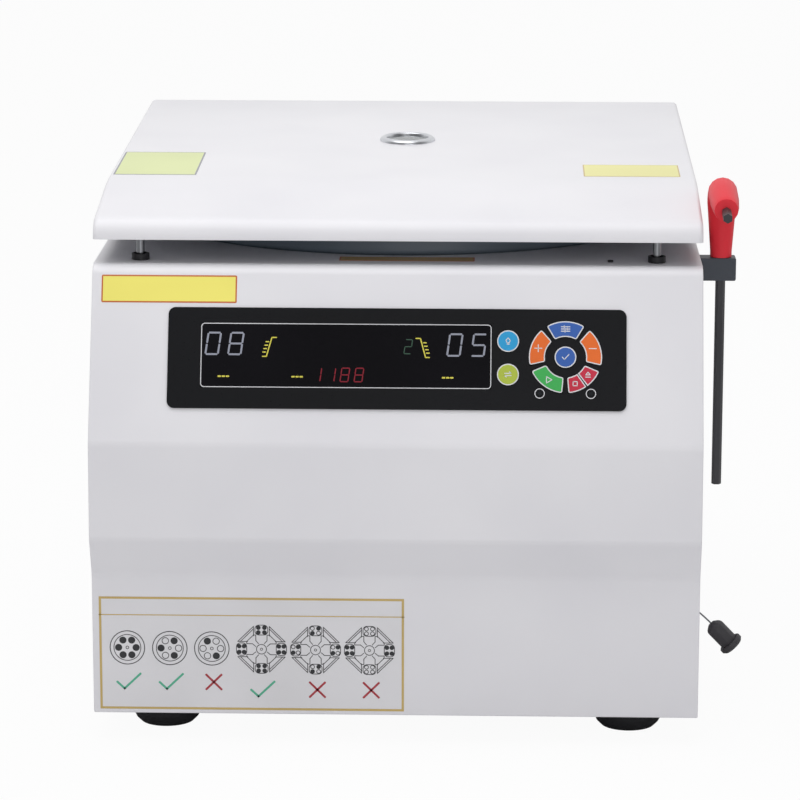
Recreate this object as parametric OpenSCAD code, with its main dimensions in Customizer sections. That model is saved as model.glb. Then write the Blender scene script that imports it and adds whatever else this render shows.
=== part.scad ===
// High-speed benchtop centrifuge with its lid ajar, standing on four feet.
// X points to the right, Y to the back and Z up, from the middle of the stand at bench level.

/* [Cabinet] */
// Width across the side panels
cab_w = 420; // [414:1:470]
// Depth from the front fold line to the back
cab_d = 500; // [492:1:560]
// Height from the bottom edge to the deck
cab_h = 310; // [300:1:350]
// Thickness of the sheet steel
sheet = 2; // [1.2:0.1:3]
// Gap at the seams between panels
seam = 0.2; // [0.1:0.05:0.4]
// Radius of the fold between fascia and deck
edge_r = 10; // [6:0.5:14]
// Height of the floor pan's upturned rim
pan_rim = 24; // [12:1:30]

/* [Front] */
// Setback of the lower front face behind the fold line
lower_setback = 8.6; // [4:0.1:14]
// Height of the lower front face
lower_h = 99.7; // [80:0.1:120]
// Height of the slanted band above it
band_h = 28; // [15:0.5:40]
// How far the middle face's foot stands ahead of the fold line
nose_out = 3.5; // [0:0.1:8]
// Height of the fold line above the bottom edge
fold_h = 194.3; // [180:0.1:196]
// Lean of the upper fascia from upright, in degrees
fascia_lean = 22.15; // [16:0.05:24]

/* [Control panel] */
// Overlay left of the display window
panel_start = 22.7; // [12:0.1:30]
// Overlay right of the key ring
panel_end = 16.7; // [10:0.1:24]
// Overlay above the key ring
panel_top = 8.25; // [7:0.05:12]
// Overlay below the key ring
panel_foot = 12.05; // [9:0.05:16]
// Corner radius of the overlay
overlay_r = 5; // [2:0.5:8]
// Thickness of the overlay
overlay_t = 1.2; // [0.8:0.1:2]
// Height of the overlay's middle up the slope from the fold
overlay_s = 60.3; // [55:0.1:64]
// Margin of the overlay that lies on the fascia
overlay_lip = 6; // [4:0.5:7]
// Width of the display window
window_w = 199; // [180:0.5:202]
// Height of the display window
window_h = 44.7; // [36:0.1:48]
// Gap between the display window and the round keys
key_side = 3.9; // [2:0.1:6]
// Thickness of the display window
window_t = 2.6; // [1.6:0.1:3]
// Radius of the two round keys
key_r = 7.5; // [6:0.1:8]
// Gap between the round keys and the key ring
ring_side = 6.7; // [3:0.1:9]
// Pitch of the two round keys
key_pitch = 23.2; // [18:0.1:26]
// Outer radius of the key ring
ring_out = 25; // [22:0.1:25.5]
// Inner radius of the key ring
ring_in = 14.1; // [11:0.1:17]
// Sweep of one ring key in degrees
ring_sweep = 62; // [52:0.5:64]
// Radius of the centre key
enter_r = 7.4; // [5:0.1:9]
// Running gap round each key
key_gap = 0.25; // [0.15:0.05:0.35]
// How far the keys stand proud of the overlay
key_proud = 0.6; // [0.4:0.1:1]
// Travel of each key
key_travel = 0.5; // [0.3:0.1:0.8]
// Depth of each key behind the fascia face
key_depth = 3; // [2:0.1:4]
// Radius of an indicator light
light_r = 1.7; // [1:0.1:2.5]
// Half spacing of the indicator lights
light_x = 17.5; // [14:0.1:20]
// Drop of the indicator lights below the ring's middle
light_drop = 25.2; // [24:0.1:27]
// Thickness of the circuit boards
board_t = 1.6; // [1:0.1:2.4]

/* [Chamber] */
// Radius of the chamber's mouth at the deck
mouth_r = 196; // [186:0.5:198]
// Depth of the mouth down to the gasket shelf
dish_depth = 20; // [18:0.5:24]
// Inner radius of the chamber bowl
bowl_r = 150; // [140:0.5:152]
// Depth of the chamber bowl below the deck
bowl_depth = 150; // [142:1:154]
// Wall of the chamber bowl
bowl_t = 2; // [1.2:0.1:3]
// Radius between the bowl's wall and floor
floor_r = 20; // [10:1:30]
// Shift of the rotor axis behind the deck's middle
axis_shift = 10; // [4:0.5:10]
// Radial width of the gasket
gasket_w = 10; // [6:0.5:14]
// Distance of the gasket from the bowl's edge
gasket_in = 12; // [6:0.5:16]
// Gap between the bowl and the guard ring
guard_gap = 4; // [2:0.5:5]
// Wall of the guard ring
guard_t = 6; // [4:0.5:8]

/* [Drive] */
// Radius of the motor housing
motor_r = 70; // [66:0.5:80]
// Height of the motor housing
motor_h = 110; // [100:1:112]
// Wall of the motor housing
motor_wall = 6; // [4:0.5:8]
// Thickness of the motor plate
plate_t = 8; // [6:0.5:10]
// Height of the rubber dampers
damper_h = 18; // [15:0.5:20]
// Radius of the rubber dampers
damper_r = 12; // [9:0.5:15]
// Radius of the circle of dampers
damper_ring = 65; // [58:0.5:70]
// Radius of the drive shaft
shaft_r = 7.5; // [6:0.1:8.5]
// Outer radius of the bearings
bearing_r = 17.5; // [15:0.1:20]
// Width of the bearings
bearing_w = 11; // [8:0.5:13]
// Running gap of shafts and pins
run_gap = 0.05; // [0.02:0.01:0.08]
// Radius of the hole in the bowl's floor for the spindle
spindle_hole = 28; // [24:0.5:32]

/* [Rotor] */
// Radius of the rotor
rotor_r = 110; // [106:0.5:120]
// Height of the rotor's rim
rotor_h = 60; // [57:0.5:64]
// Clearance of the rotor above the bowl's floor
rotor_lift = 10; // [6:0.5:12]
// Number of tube wells
well_count = 12; // [6:1:12]
// Radius of a tube well
well_r = 5.6; // [4:0.1:6]
// Depth of a tube well
well_depth = 36; // [25:0.5:38]
// Lean of the tube wells in degrees
well_lean = 35; // [30:0.5:40]
// Radius of the rotor knob
knob_r = 17; // [14:0.5:22]
// Height of the rotor knob
knob_h = 24; // [18:0.5:26]
// Radius of the knob's stud
stud_r = 4; // [3:0.1:4.5]

/* [Lid] */
// How far the lid stands open, in degrees
lid_ajar = 2.1; // [1.8:0.05:4]
// Gap between the closed lid and the deck
lid_gap = 1; // [0.6:0.1:2]
// Height of the lid's nose to its sharp corner
nose_h = 13; // [13:0.5:18]
// Radius over the lid's nose
nose_r = 14.5; // [8:0.5:14.5]
// Slope of the lid's front in degrees
front_slope = 10.85; // [8:0.05:14]
// Length of the sloped front
front_run = 93; // [70:0.5:120]
// Slope of the lid's top in degrees
top_slope = 3.84; // [2:0.02:5]
// Radius of the lid's back edge
lid_back_r = 6; // [3:0.5:10]
// Thickness of the lid's inner plate
lid_plate_t = 4; // [3:0.5:5]
// Height of the inner plate above the lid's rim
lid_plate_z = 8; // [7.5:0.25:8.5]
// Depth of the liner below the deck when the lid is shut
liner_depth = 16; // [12:0.5:17]
// Gap between the liner and the chamber's mouth
liner_gap = 4; // [3:0.5:6]
// Wall of the liner
liner_t = 3; // [2:0.5:4]
// Radius of the liner's lower edge
liner_edge = 4; // [3.5:0.5:9]
// Outer radius of the sight window's ring
sight_r = 20.7; // [19:0.1:26]
// Radius of the sight glass
glass_r = 15.4; // [12:0.1:16]
// Place of the sight window behind the rotor axis
sight_back = 16; // [0:0.5:24]
// Height of the window ring above the lid
sight_proud = 3; // [2:0.25:5]

/* [Latch and hinges] */
// Radius of the latch pins
pin_r = 2.9; // [2.7:0.1:3.4]
// Place of the latch pins in from the cabinet's side
pin_inset = 31; // [28:0.5:34]
// Place of the latch pins behind the fold line
pin_back = 70; // [69:0.5:72]
// Reach of the shut latch pins below the deck
pin_reach = 25; // [23:0.5:28]
// Radius of the neck that the latch bar holds
neck_r = 1.8; // [1.5:0.1:1.9]
// Room round the latch pins as they swing in
pin_room = 1.9; // [1.7:0.1:2.2]
// Wall of the pin bushes
bush_t = 0.9; // [0.8:0.1:1.5]
// Height of the pin bushes above the deck
bush_h = 4.5; // [3:0.5:6]
// Depth of the latch bar below the deck
bar_drop = 11; // [10.5:0.25:12]
// Thickness of the latch bar
bar_t = 3; // [2:0.25:4]
// Width of the latch bar
bar_w = 22; // [20:0.5:22]
// Travel of the latch bar
bar_travel = 6; // [5:0.5:6.5]
// Gap round the latch bar in its guides
bar_gap = 0.3; // [0.2:0.05:0.6]
// Radius of the lid hinge knuckles
knuckle_r = 6; // [5:0.25:6.5]
// Radius of the hinge pins
hinge_pin_r = 3; // [2.5:0.1:3.5]
// Height of the hinge axis above the deck
hinge_up = 7.5; // [7.25:0.25:8]
// Place of the hinge axis in from the back
hinge_in = 9; // [8:0.25:9.5]
// Place of the hinges in from the cabinet's side
hinge_inset = 60; // [40:1:80]
// Length of one hinge knuckle
knuckle_len = 24; // [18:1:34]

/* [Hex key] */
// Size of the hex key across its flats
hex_af = 6; // [5:0.5:7]
// Distance of the hex key from the side panel
hex_out = 15.5; // [14:0.5:20]
// Place of the hex key behind the fold line
hex_back = 110; // [100:1:130]
// Depth of the blade below the holder
blade_drop = 148; // [120:1:170]
// Width of the holder block along the side
holder_w = 14; // [12:0.5:22]
// Height of the holder block
holder_h = 16; // [12:0.5:24]
// Depth of the holder block's top below the deck
holder_down = 3; // [1:0.5:20]
// Wall of the holder block outside the blade
holder_wall = 7; // [5:0.5:10]
// Room round the blade in the holder
blade_room = 0.5; // [0.3:0.1:1]
// Height of the grip's arm above the holder
grip_h = 47; // [40:0.5:55]
// Length of the grip's arm
arm_len = 55; // [50:1:80]
// Drop of the arm's end below its root
arm_drop = 5; // [0:0.5:14]
// Radius of the grip's arm
arm_r = 10; // [8:0.5:11]
// Radius of the grip's stem
stem_r = 8; // [6:0.5:9]
// Length of the short leg that shows past the arm
leg_out = 18; // [6:0.5:24]

/* [Lid release] */
// Radius of the release wire
wire_r = 0.6; // [0.5:0.05:0.8]
// Radius of the plug's body
plug_r = 6.9; // [6:0.1:7]
// Length of the plug
plug_len = 24; // [18:0.5:26]
// Radius of the plug's flange
flange_r = 9; // [8:0.1:10]
// Thickness of the plug's flange
flange_t = 4.7; // [3:0.1:6]
// Room round the plug in its socket
plug_room = 0.3; // [0.2:0.05:0.5]
// Wall of the socket
socket_t = 3; // [2.5:0.25:4]

/* [Back] */
// Width of the cooling fan
fan_w = 80; // [70:1:92]
// Thickness of the cooling fan
fan_t = 25; // [20:0.5:30]
// Place of the fan left of the middle
fan_left = 110; // [100:1:120]
// Height of the fan above the bottom edge
fan_up = 90; // [70:1:120]
// Place of the mains inlet right of the middle
inlet_right = 120; // [100:1:150]
// Height of the mains inlet above the bottom edge
inlet_up = 62; // [60:1:90]

/* [Feet] */
// Height of the feet
foot_h = 20; // [18:0.5:26]
// Radius of the feet at the top
foot_r = 25; // [20:0.5:26]
// Radius of the feet on the bench
foot_bottom_r = 15; // [12:0.5:18]
// Place of the feet in from the sides
foot_in_x = 47; // [36:1:60]
// Place of the feet in from the front and back
foot_in_y = 57; // [36:1:64]

/* [Hidden] */
$fn = 96;

// Overshoot of a cut past the face it opens
cut = 1;

// Levels and planes of the cabinet
bottom_z = foot_h;
deck_z = foot_h + cab_h;
fold_z = foot_h + fold_h;
fold_y = -cab_d / 2;
back_y = cab_d / 2;
side_x = cab_w / 2;
inner_x = side_x - sheet;
floor_z = bottom_z + sheet;
under_z = deck_z - sheet;
lower_y = fold_y + lower_setback;
band_z = bottom_z + lower_h;
nose_z = band_z + band_h;
edge_turn = 90 - fascia_lean;
corner_y = fold_y + (cab_h - fold_h) * tan(fascia_lean);
deck_y = corner_y + edge_r * tan(edge_turn / 2);
back_in_y = back_y - sheet;

// Chamber, drive and rotor levels
axis_y = (deck_y + back_y) / 2 + axis_shift;
shelf_z = deck_z - dish_depth;
bowl_floor_z = deck_z - bowl_depth;
guard_r = bowl_r + bowl_t + guard_gap;
plate_z = floor_z + damper_h;
motor_z = plate_z + plate_t;
motor_top_z = motor_z + motor_h;
end_cap = 4;
end_t = bearing_w + end_cap;
core_r = 50;
core_gap = 1;
winding_room = 10;
core_h = motor_h - 2 * (end_t + winding_room);
core_z = motor_z + (motor_h - core_h) / 2;
rotor_z = bowl_floor_z + rotor_lift;
collar_w = 8;
collar_r = shaft_r + collar_w;
collar_h = 4;
shaft_grip = 40;
shaft_top = rotor_z + shaft_grip;
rotor_base_r = 72;
rotor_shoulder = 32;
rim_w = 8;
rim_lip = 10;
hub_r = 30;
hub_rise = 6;
hub_h = rotor_h + hub_rise;
well_mouth_r = 58;
lid_cover_t = 3;
cover_lift = 4;
lid_cover_z = rotor_z + hub_h + cover_lift;
cover_rim_r = rotor_r - 2;
cover_rim_w = 14;
knob_z = lid_cover_z + lid_cover_t + seam;
stud_len = 16;

// Lid frame, written as if the lid were shut
hinge_y = back_y - hinge_in;
hinge_z = deck_z + hinge_up;
hinge_x = side_x - hinge_inset;
lid_setback = 2.5;
lid_front_y = corner_y + lid_setback;
knuckle_room = 0.8;
lid_back_y = hinge_y - knuckle_r - knuckle_room;
rim_z = deck_z + lid_gap;
bend_z = nose_h + front_run * tan(front_slope);
plate_inset = 14;
leaf_len = 55;
leaf_t = 4;
ear_w = 8;
ear_gap = 0.4;
pin_over = 0.6;
liner_r = mouth_r - liner_gap;
gasket_clear = 0.4;
sight_y = axis_y + sight_back;
sight_z = lid_top_z(sight_y);
sight_seat = 2.2;
sight_hole = glass_r + sight_seat;
sight_skirt = 3;

// Latch
pin_x = side_x - pin_inset;
pin_y = fold_y + pin_back;
bar_z = deck_z - bar_drop - bar_t;
bush_bore = pin_r + pin_room;
bush_r = bush_bore + bush_t;
bush_lip = 0.5;
bush_below = 2;
sensor_in = 32;
sensor_x = pin_x - sensor_in;
sensor_r = 2;
sensor_h = 1.2;
guide_in = 60;
guide_x = pin_x - guide_in;
guide_t = 3;
guide_w = 14;
bar_over = 14;
bar_half = pin_x + bar_over;
solenoid_w = 50;
solenoid_h = 26;
solenoid_d = 20;
solenoid_x = -60;
rod_r = 4;
neck_gap = 0.7;
solenoid_gap = 8;
rod_z = bar_z - solenoid_gap - solenoid_h / 2;
tab_x = 0;

// Panel frame: x to the right, y up the slope from the fold, z out of the fascia
overlay_x = 0.5;
overlay_w = panel_start + window_w + key_side + 2 * key_r + ring_side + 2 * ring_out + panel_end;
overlay_h = panel_foot + 2 * ring_out + panel_top;
window_x = overlay_x - overlay_w / 2 + panel_start + window_w / 2;
key_x = window_x + window_w / 2 + key_side + key_r;
ring_x = key_x + key_r + ring_side + ring_out;
window_rise = 1.85;
window_s = overlay_s + window_rise;
ring_s = overlay_s - overlay_h / 2 + panel_foot + ring_out;
key_rise = 1.2;
key_mid_s = overlay_s + key_rise;
key_h = key_depth + overlay_t + key_proud;
key_clear = 0.3;
board_z = -key_depth - key_travel - key_clear;
post_out = 5;
post_x = overlay_w / 2 + post_out;
post_s = 22;
post_r = 3;
ring_mids = [90, 162, 18, 234, 306];
key_split = 2;

// Hex key and its holder
hex_x = side_x + hex_out;
hex_y = fold_y + hex_back;
hex_r = hex_af / sqrt(3);
holder_top = deck_z - holder_down;
holder_z = holder_top - holder_h;
blade_z = holder_z - blade_drop;
grip_gap = 0.3;
grip_z = holder_top + grip_gap;
arm_z = holder_top + grip_h;
arm_tip = [hex_x, hex_y - arm_len, arm_z - arm_drop];
arm_tilt = atan2(arm_drop, arm_len);
hex_gap = 0.1;

// Release wire: the points that it follows from the socket to the plug
wire_route = [[189, -110, 66], [192, -110, 66], [195, -110, 66], [198, -110, 66], [201, -110, 65.9],
  [204, -110, 65.5], [206.8, -110, 64.8], [209.5, -110, 63.8], [212, -110, 62.5], [214.4, -110, 61],
  [216.7, -110, 59.2], [218.9, -110, 57.3], [220.8, -110, 55.6], [222.5, -110, 54], [224.1, -110, 52.5],
  [225.6, -110, 51]];
// Sheath: the points that it follows inside, from the socket up to the latch bar
sheath_route = [[176.8, -110, 66], [173, -110, 66], [166, -112, 67], [160, -118, 74], [159, -122, 84],
  [161, -126, 100], [165, -132, 122], [169, -140, 148], [172, -149, 176], [174, -158, 204],
  [176, -166, 230], [178, -172, 254], [179, -176, 274], [179, -178, 290]];
sheath_r = 2.2;
plug_lean = 46;
plug_nose = 4;
socket_y = wire_route[0][1];
socket_z = wire_route[0][2];
socket_proud = 1.5;
socket_depth = 17;
socket_bottom = side_x - socket_depth;
socket_lip = 2;
flare_w = 2.5;
flare_d = 4.5;
socket_back = sheath_route[0][0] + seam;
socket_r = plug_r + plug_room + socket_t;
wire_room = 0.7;
barrel_r = 4;

// Back
fan_x = -fan_left;
fan_z = bottom_z + fan_up;
fan_y = back_in_y - seam - fan_t;
fan_rim = 2.5;
fan_bore = fan_w / 2 - fan_rim;
fan_hub = 15;
spindle_r = 2;
spindle_len = fan_t - 5;
spoke_t = 3;
blade_gap = 1.2;
vent_h = 3;
vent_pitch = 7;
inlet_x = inlet_right;
inlet_z = bottom_z + inlet_up;
inlet_w = 28;
inlet_h = 56;
inlet_d = 24;
board_side = 10;
board_back = 4;
inlet_lip = 3;
inlet_lip_t = 2.5;
mains_w = 23;
mains_h = 15;
mains_d = 17;
mains_drop = 15;
blade_w = 2;
blade_h = 4;
blade_len = 11;
blade_x = 7;
rocker_w = 15;
rocker_h = 20;
rocker_up = 14;
rocker_gap = 0.4;
rocker_tilt = 8;
rocker_sink = 3;
rocker_y = back_y - rocker_sink;
trunnion_r = 1.5;
trunnion_len = 3;

// Feet
foot_x = side_x - foot_in_x;
foot_y = back_y - foot_in_y;
screw_r = 3;
screw_head_r = 5.5;
screw_head_h = 4;
screw_sink = 10;
screw_gap = 0.3;

// Outline of the front: the sheet's outer face at depth 0, its inner face at the sheet's thickness
edge_steps = 8;
function edge_arc(r) = [for (i = [0:edge_steps])
  let (a = 180 - fascia_lean - edge_turn * i / edge_steps)
  [deck_y + r * cos(a), deck_z - edge_r + r * sin(a)]];
function front_line(t) = concat([[lower_y + t, bottom_z], [lower_y + t, band_z],
  [fold_y - nose_out + t, nose_z], [fold_y + t / cos(fascia_lean), fold_z]], edge_arc(edge_r - t));
function reversed(v) = [for (i = [len(v) - 1:-1:0]) v[i]];

// Outline of the lid at depth t below its outer face, from the front rim over the top to the back rim
nose_steps = 8;
function lid_nose(t) = let (r = nose_r - min(t, nose_r - 1), turn = 90 - front_slope,
  reach = nose_r * tan(turn / 2), y = lid_front_y + nose_r, z = rim_z + nose_h - reach)
  [for (i = [0:nose_steps]) let (a = 180 - turn * i / nose_steps) [y + r * cos(a), z + r * sin(a)]];
function lid_top_z(y) = rim_z + bend_z + (y - lid_front_y - front_run) * tan(top_slope);
function lid_line(t, low) = concat([[lid_front_y + t, low]], lid_nose(t),
  [[lid_front_y + front_run, rim_z + bend_z - t]],
  [for (i = [0:4]) let (r = lid_back_r - min(t, lid_back_r - 1), a = 90 - 90 * i / 4,
    y = lid_back_y - lid_back_r) [y + r * cos(a), lid_top_z(y) - lid_back_r + r * sin(a)]],
  [[lid_back_y - t, low]]);

// Places used again and again
module across(points, w) {
  rotate([90, 0, 90]) linear_extrude(w, center = true) polygon(points);
}
module on_axis(z) {
  translate([0, axis_y, z]) children();
}
module on_fascia() {
  translate([0, fold_y, fold_z]) rotate([90 - fascia_lean, 0, 0]) children();
}
module on_lid() {
  translate([0, hinge_y, hinge_z]) rotate([-lid_ajar, 0, 0]) translate([0, -hinge_y, -hinge_z]) children();
}
module both_sides(x) {
  for (side = [-1, 1]) translate([side * x, 0, 0]) children();
}
module at_feet() {
  for (x = [-foot_x, foot_x], y = [-foot_y, foot_y]) translate([x, y, 0]) children();
}
module rounded_rect(w, h, r) {
  square([w - 2 * r, h], center = true);
  square([w, h - 2 * r], center = true);
  for (x = [-1, 1], y = [-1, 1]) translate([x * (w / 2 - r), y * (h / 2 - r)]) circle(r, $fn = 32);
}
module block(from, to) {
  translate(from) cube(to - from);
}
module along_x(p, r, h) {
  translate(p) rotate([0, 90, 0]) cylinder(r = r, h = h);
}
module ring(r_in, r_out, h) {
  rotate_extrude() translate([r_in, 0]) square([r_out - r_in, h]);
}

// A round tube of the given radius along a list of points
tube_sides = 8;
function unit(v) = v / norm(v);
function tangent(p, i) = unit(p[min(i + 1, len(p) - 1)] - p[max(i - 1, 0)]);
function tube_ring(p, i, r) = let (t = tangent(p, i), n = unit(cross(t, [0, 1, 0])), b = cross(n, t))
  [for (k = [0:tube_sides - 1]) let (a = 360 * k / tube_sides) p[i] + r * (cos(a) * n + sin(a) * b)];
module tube(p, r) {
  rings = [for (i = [0:len(p) - 1]) each tube_ring(p, i, r)];
  last = (len(p) - 1) * tube_sides;
  walls = [for (i = [0:len(p) - 2], k = [0:tube_sides - 1])
    let (a = i * tube_sides + k, b = i * tube_sides + (k + 1) % tube_sides)
    each [[a, b, b + tube_sides], [a, b + tube_sides, a + tube_sides]]];
  foot = [for (k = [1:tube_sides - 2]) [0, k + 1, k]];
  head = [for (k = [1:tube_sides - 2]) [last, last + k, last + k + 1]];
  polyhedron(rings, concat(walls, foot, head));
}

// Cabinet
module base_pan() {
  pan_x = inner_x - seam;
  pan_y = lower_y + sheet + seam;
  pan_back = back_in_y - seam;
  color("gainsboro") difference() {
    block([-pan_x, pan_y, bottom_z], [pan_x, pan_back, bottom_z + pan_rim]);
    block([sheet - pan_x, pan_y + sheet, floor_z],
      [pan_x - sheet, pan_back - sheet, bottom_z + pan_rim + cut]);
    at_feet() translate([0, 0, bottom_z - cut]) cylinder(r = screw_r + screw_gap, h = sheet + 2 * cut);
  }
}

module front_fascia() {
  color("whitesmoke") difference() {
    across(concat(front_line(0), reversed(front_line(sheet))), cab_w);
    on_fascia() translate([overlay_x, overlay_s, -2 * sheet]) linear_extrude(3 * sheet)
      square([overlay_w - 2 * overlay_lip, overlay_h - 2 * overlay_lip], center = true);
  }
}

module side_panel(side) {
  line = front_line(sheet + seam);
  top = under_z - seam;
  back = back_in_y - seam;
  translate([side * (side_x - sheet / 2), 0, 0])
    across(concat(line, [[back, top], [back, bottom_z]]), sheet);
}

module left_panel() {
  color("whitesmoke") side_panel(-1);
}

module right_panel() {
  color("whitesmoke") difference() {
    side_panel(1);
    translate([inner_x - cut, socket_y, socket_z]) rotate([0, 90, 0])
      cylinder(r = socket_r + seam, h = sheet + 2 * cut);
  }
}

module rear_panel() {
  vents = floor((fan_bore - vent_h) / vent_pitch);
  color("whitesmoke") difference() {
    block([-side_x, back_in_y, bottom_z], [side_x, back_y, under_z - seam]);
    for (i = [-vents:vents]) {
      half = sqrt(fan_bore * fan_bore - pow(abs(i) * vent_pitch + vent_h, 2));
      translate([fan_x - half, back_in_y - cut, fan_z + i * vent_pitch - vent_h / 2])
        cube([2 * half, sheet + 2 * cut, vent_h]);
    }
    translate([inlet_x, back_y - sheet / 2, inlet_z])
      cube([inlet_w + 2 * seam, sheet + 2 * cut, inlet_h + 2 * seam], center = true);
  }
}

module top_deck() {
  color("whitesmoke") difference() {
    block([-side_x, deck_y + seam, under_z], [side_x, back_y, deck_z]);
    on_axis(under_z - cut) cylinder(r = mouth_r + bowl_t + seam, h = sheet + 2 * cut, $fn = 180);
    both_sides(pin_x) translate([0, pin_y, under_z - cut])
      cylinder(r = bush_r + seam, h = sheet + 2 * cut);
    translate([sensor_x, pin_y, under_z - cut]) cylinder(r = sensor_r + seam, h = sheet + 2 * cut);
  }
}

// Chamber
module chamber_bowl() {
  wall = bowl_r + bowl_t;
  bend = [for (i = [0:8]) let (a = -90 * i / 8) [cos(a), sin(a)]];
  inside = concat([[mouth_r, 0], [mouth_r, -dish_depth], [bowl_r, -dish_depth]],
    [for (b = bend) [bowl_r - floor_r, floor_r - bowl_depth] + floor_r * b], [[spindle_hole, -bowl_depth]]);
  shelf = -dish_depth - bowl_t;
  outside = concat([[mouth_r + bowl_t, 0], [mouth_r + bowl_t, shelf], [wall, shelf]],
    [for (b = bend) [bowl_r - floor_r, floor_r - bowl_depth] + (floor_r + bowl_t) * b],
    [[spindle_hole, -bowl_depth - bowl_t]]);
  color("silver") on_axis(deck_z) rotate_extrude($fn = 180) polygon(concat(inside, reversed(outside)));
}

module chamber_gasket() {
  h = dish_depth - liner_depth - gasket_clear;
  color("dimgray") on_axis(shelf_z) ring(bowl_r + gasket_in, bowl_r + gasket_in + gasket_w, h);
}

module guard_ring() {
  color("gray") on_axis(floor_z) ring(guard_r, guard_r + guard_t, shelf_z - bowl_t - seam - floor_z);
}

// Drive
module motor_plate() {
  margin = 6;
  color("slategray") on_axis(plate_z) cylinder(r = damper_ring + damper_r + margin, h = plate_t);
}

module motor_dampers() {
  color("black") on_axis(floor_z) for (a = [45:90:315])
    rotate(a) translate([damper_ring, 0, 0]) cylinder(r = damper_r, h = damper_h, $fn = 48);
}

module motor_housing() {
  shaft_room = 2;
  color("darkgray") on_axis(motor_z) difference() {
    cylinder(r = motor_r, h = motor_h);
    translate([0, 0, end_t]) cylinder(r = motor_r - motor_wall, h = motor_h - 2 * end_t);
    translate([0, 0, end_t - bearing_w]) cylinder(r = bearing_r + run_gap, h = bearing_w + cut);
    translate([0, 0, motor_h - end_t - cut]) cylinder(r = bearing_r + run_gap, h = bearing_w + cut);
    translate([0, 0, motor_h - end_t]) cylinder(r = shaft_r + shaft_room, h = end_t + cut);
  }
}

module motor_stator() {
  color("sienna") on_axis(core_z) ring(core_r + core_gap, motor_r - motor_wall - run_gap, core_h);
}

module shaft_bearings() {
  color("lightsteelblue") for (z = [motor_z + end_t - bearing_w, motor_top_z - end_t])
    on_axis(z) ring(shaft_r + run_gap, bearing_r, bearing_w);
}

module drive_shaft() {
  foot = motor_z + end_t - bearing_w;
  color("silver") difference() {
    union() {
      on_axis(foot + seam) cylinder(r = shaft_r, h = shaft_top - foot - seam);
      on_axis(rotor_z - collar_h - seam) cylinder(r = collar_r, h = collar_h);
    }
    on_axis(rotor_z) cylinder(r = stud_r + run_gap, h = shaft_top - rotor_z + cut);
  }
}

module motor_core() {
  color("peru") on_axis(core_z) ring(shaft_r + run_gap, core_r, core_h);
}

// Rotor
module rotor_body() {
  color("darkslategray") on_axis(rotor_z) difference() {
    rotate_extrude($fn = 120) polygon([[shaft_r + run_gap, 0], [rotor_base_r, 0], [rotor_r, rotor_shoulder],
      [rotor_r, rotor_h], [rotor_r - rim_w, rotor_h], [rotor_r - rim_w, rotor_h - rim_lip], [hub_r, hub_h],
      [shaft_r + run_gap, hub_h]]);
    for (i = [0:well_count - 1]) rotate(360 * i / well_count)
      translate([well_mouth_r, 0, rotor_h]) rotate([0, 180 - well_lean, 0])
        cylinder(r = well_r, h = well_depth);
  }
}

module rotor_lid() {
  z = rotor_h + seam;
  top = lid_cover_z - rotor_z;
  crown = top + lid_cover_t;
  hole = stud_r + seam;
  inner = cover_rim_r - cover_rim_w;
  dome = top + 1;
  color("gray") on_axis(rotor_z) rotate_extrude($fn = 120) polygon([
    [cover_rim_r - rim_w, z], [cover_rim_r, z], [cover_rim_r, z + lid_cover_t], [inner, dome], [hub_r, crown],
    [hole, crown], [hole, hub_h + seam], [hub_r, hub_h + seam], [inner - 2, dome - lid_cover_t]]);
}

module rotor_knob() {
  reach = shaft_top - stud_len;
  foot = 3;
  edge = 4;
  waist = knob_r - 2;
  color("black") {
    on_axis(reach) cylinder(r = stud_r, h = knob_z - reach);
    on_axis(knob_z) rotate_extrude() polygon([[0, 0], [waist, 0], [knob_r, foot], [knob_r, knob_h - edge],
      [knob_r - edge, knob_h], [0, knob_h]]);
  }
}

// Lid
module lid_shell() {
  low = rim_z - cut;
  color("white") on_lid() difference() {
    across(lid_line(0, rim_z), cab_w);
    across(lid_line(sheet, low), cab_w - 2 * sheet);
    translate([0, sight_y, sight_z]) rotate([top_slope, 0, 0])
      cylinder(r = sight_hole + seam, h = 4 * sheet, center = true);
    both_sides(hinge_x) block([-knuckle_len / 2 - seam, lid_back_y - sheet - cut, low],
      [knuckle_len / 2 + seam, lid_back_y + cut, rim_z + lid_plate_z + seam]);
  }
}

module lid_plate() {
  color("silver") on_lid() difference() {
    block([sheet + seam - side_x, lid_front_y + plate_inset, rim_z + lid_plate_z],
      [inner_x - seam, lid_back_y - sheet - seam, rim_z + lid_plate_z + lid_plate_t]);
    translate([0, sight_y, rim_z]) cylinder(r = glass_r, h = lid_plate_z + lid_plate_t + cut);
  }
}

module lid_liner() {
  low = deck_z - liner_depth;
  h = rim_z + lid_plate_z - low;
  bend = [for (i = [0:6]) let (a = -90 * i / 6) [cos(a), sin(a)]];
  outside = [for (b = bend) [liner_r - liner_edge, liner_edge] + liner_edge * b];
  inside = [for (b = bend) [liner_r - liner_edge, liner_edge] + (liner_edge - liner_t) * b];
  color("darkslategray") on_lid() difference() {
    on_axis(low) rotate_extrude($fn = 180) polygon(concat([[liner_r - liner_t, h], [liner_r, h]], outside,
      [[0, 0], [0, liner_t]], reversed(inside)));
    translate([0, sight_y, low - cut]) cylinder(r = glass_r, h = liner_t + 2 * cut);
  }
}

module on_sight() {
  on_lid() translate([0, sight_y, sight_z]) rotate([top_slope, 0, 0]) children();
}

module window_ring() {
  deep = sheet + sight_skirt;
  foot = 0.1;
  edge = 1.2;
  slope = 2;
  color("gainsboro") on_sight() rotate_extrude() polygon([[glass_r + seam, -deep], [sight_hole, -deep],
    [sight_hole, foot], [sight_r, foot], [sight_r, edge], [sight_r - slope, sight_proud],
    [glass_r + edge, sight_proud], [glass_r + seam, sight_proud - edge]]);
}

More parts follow.
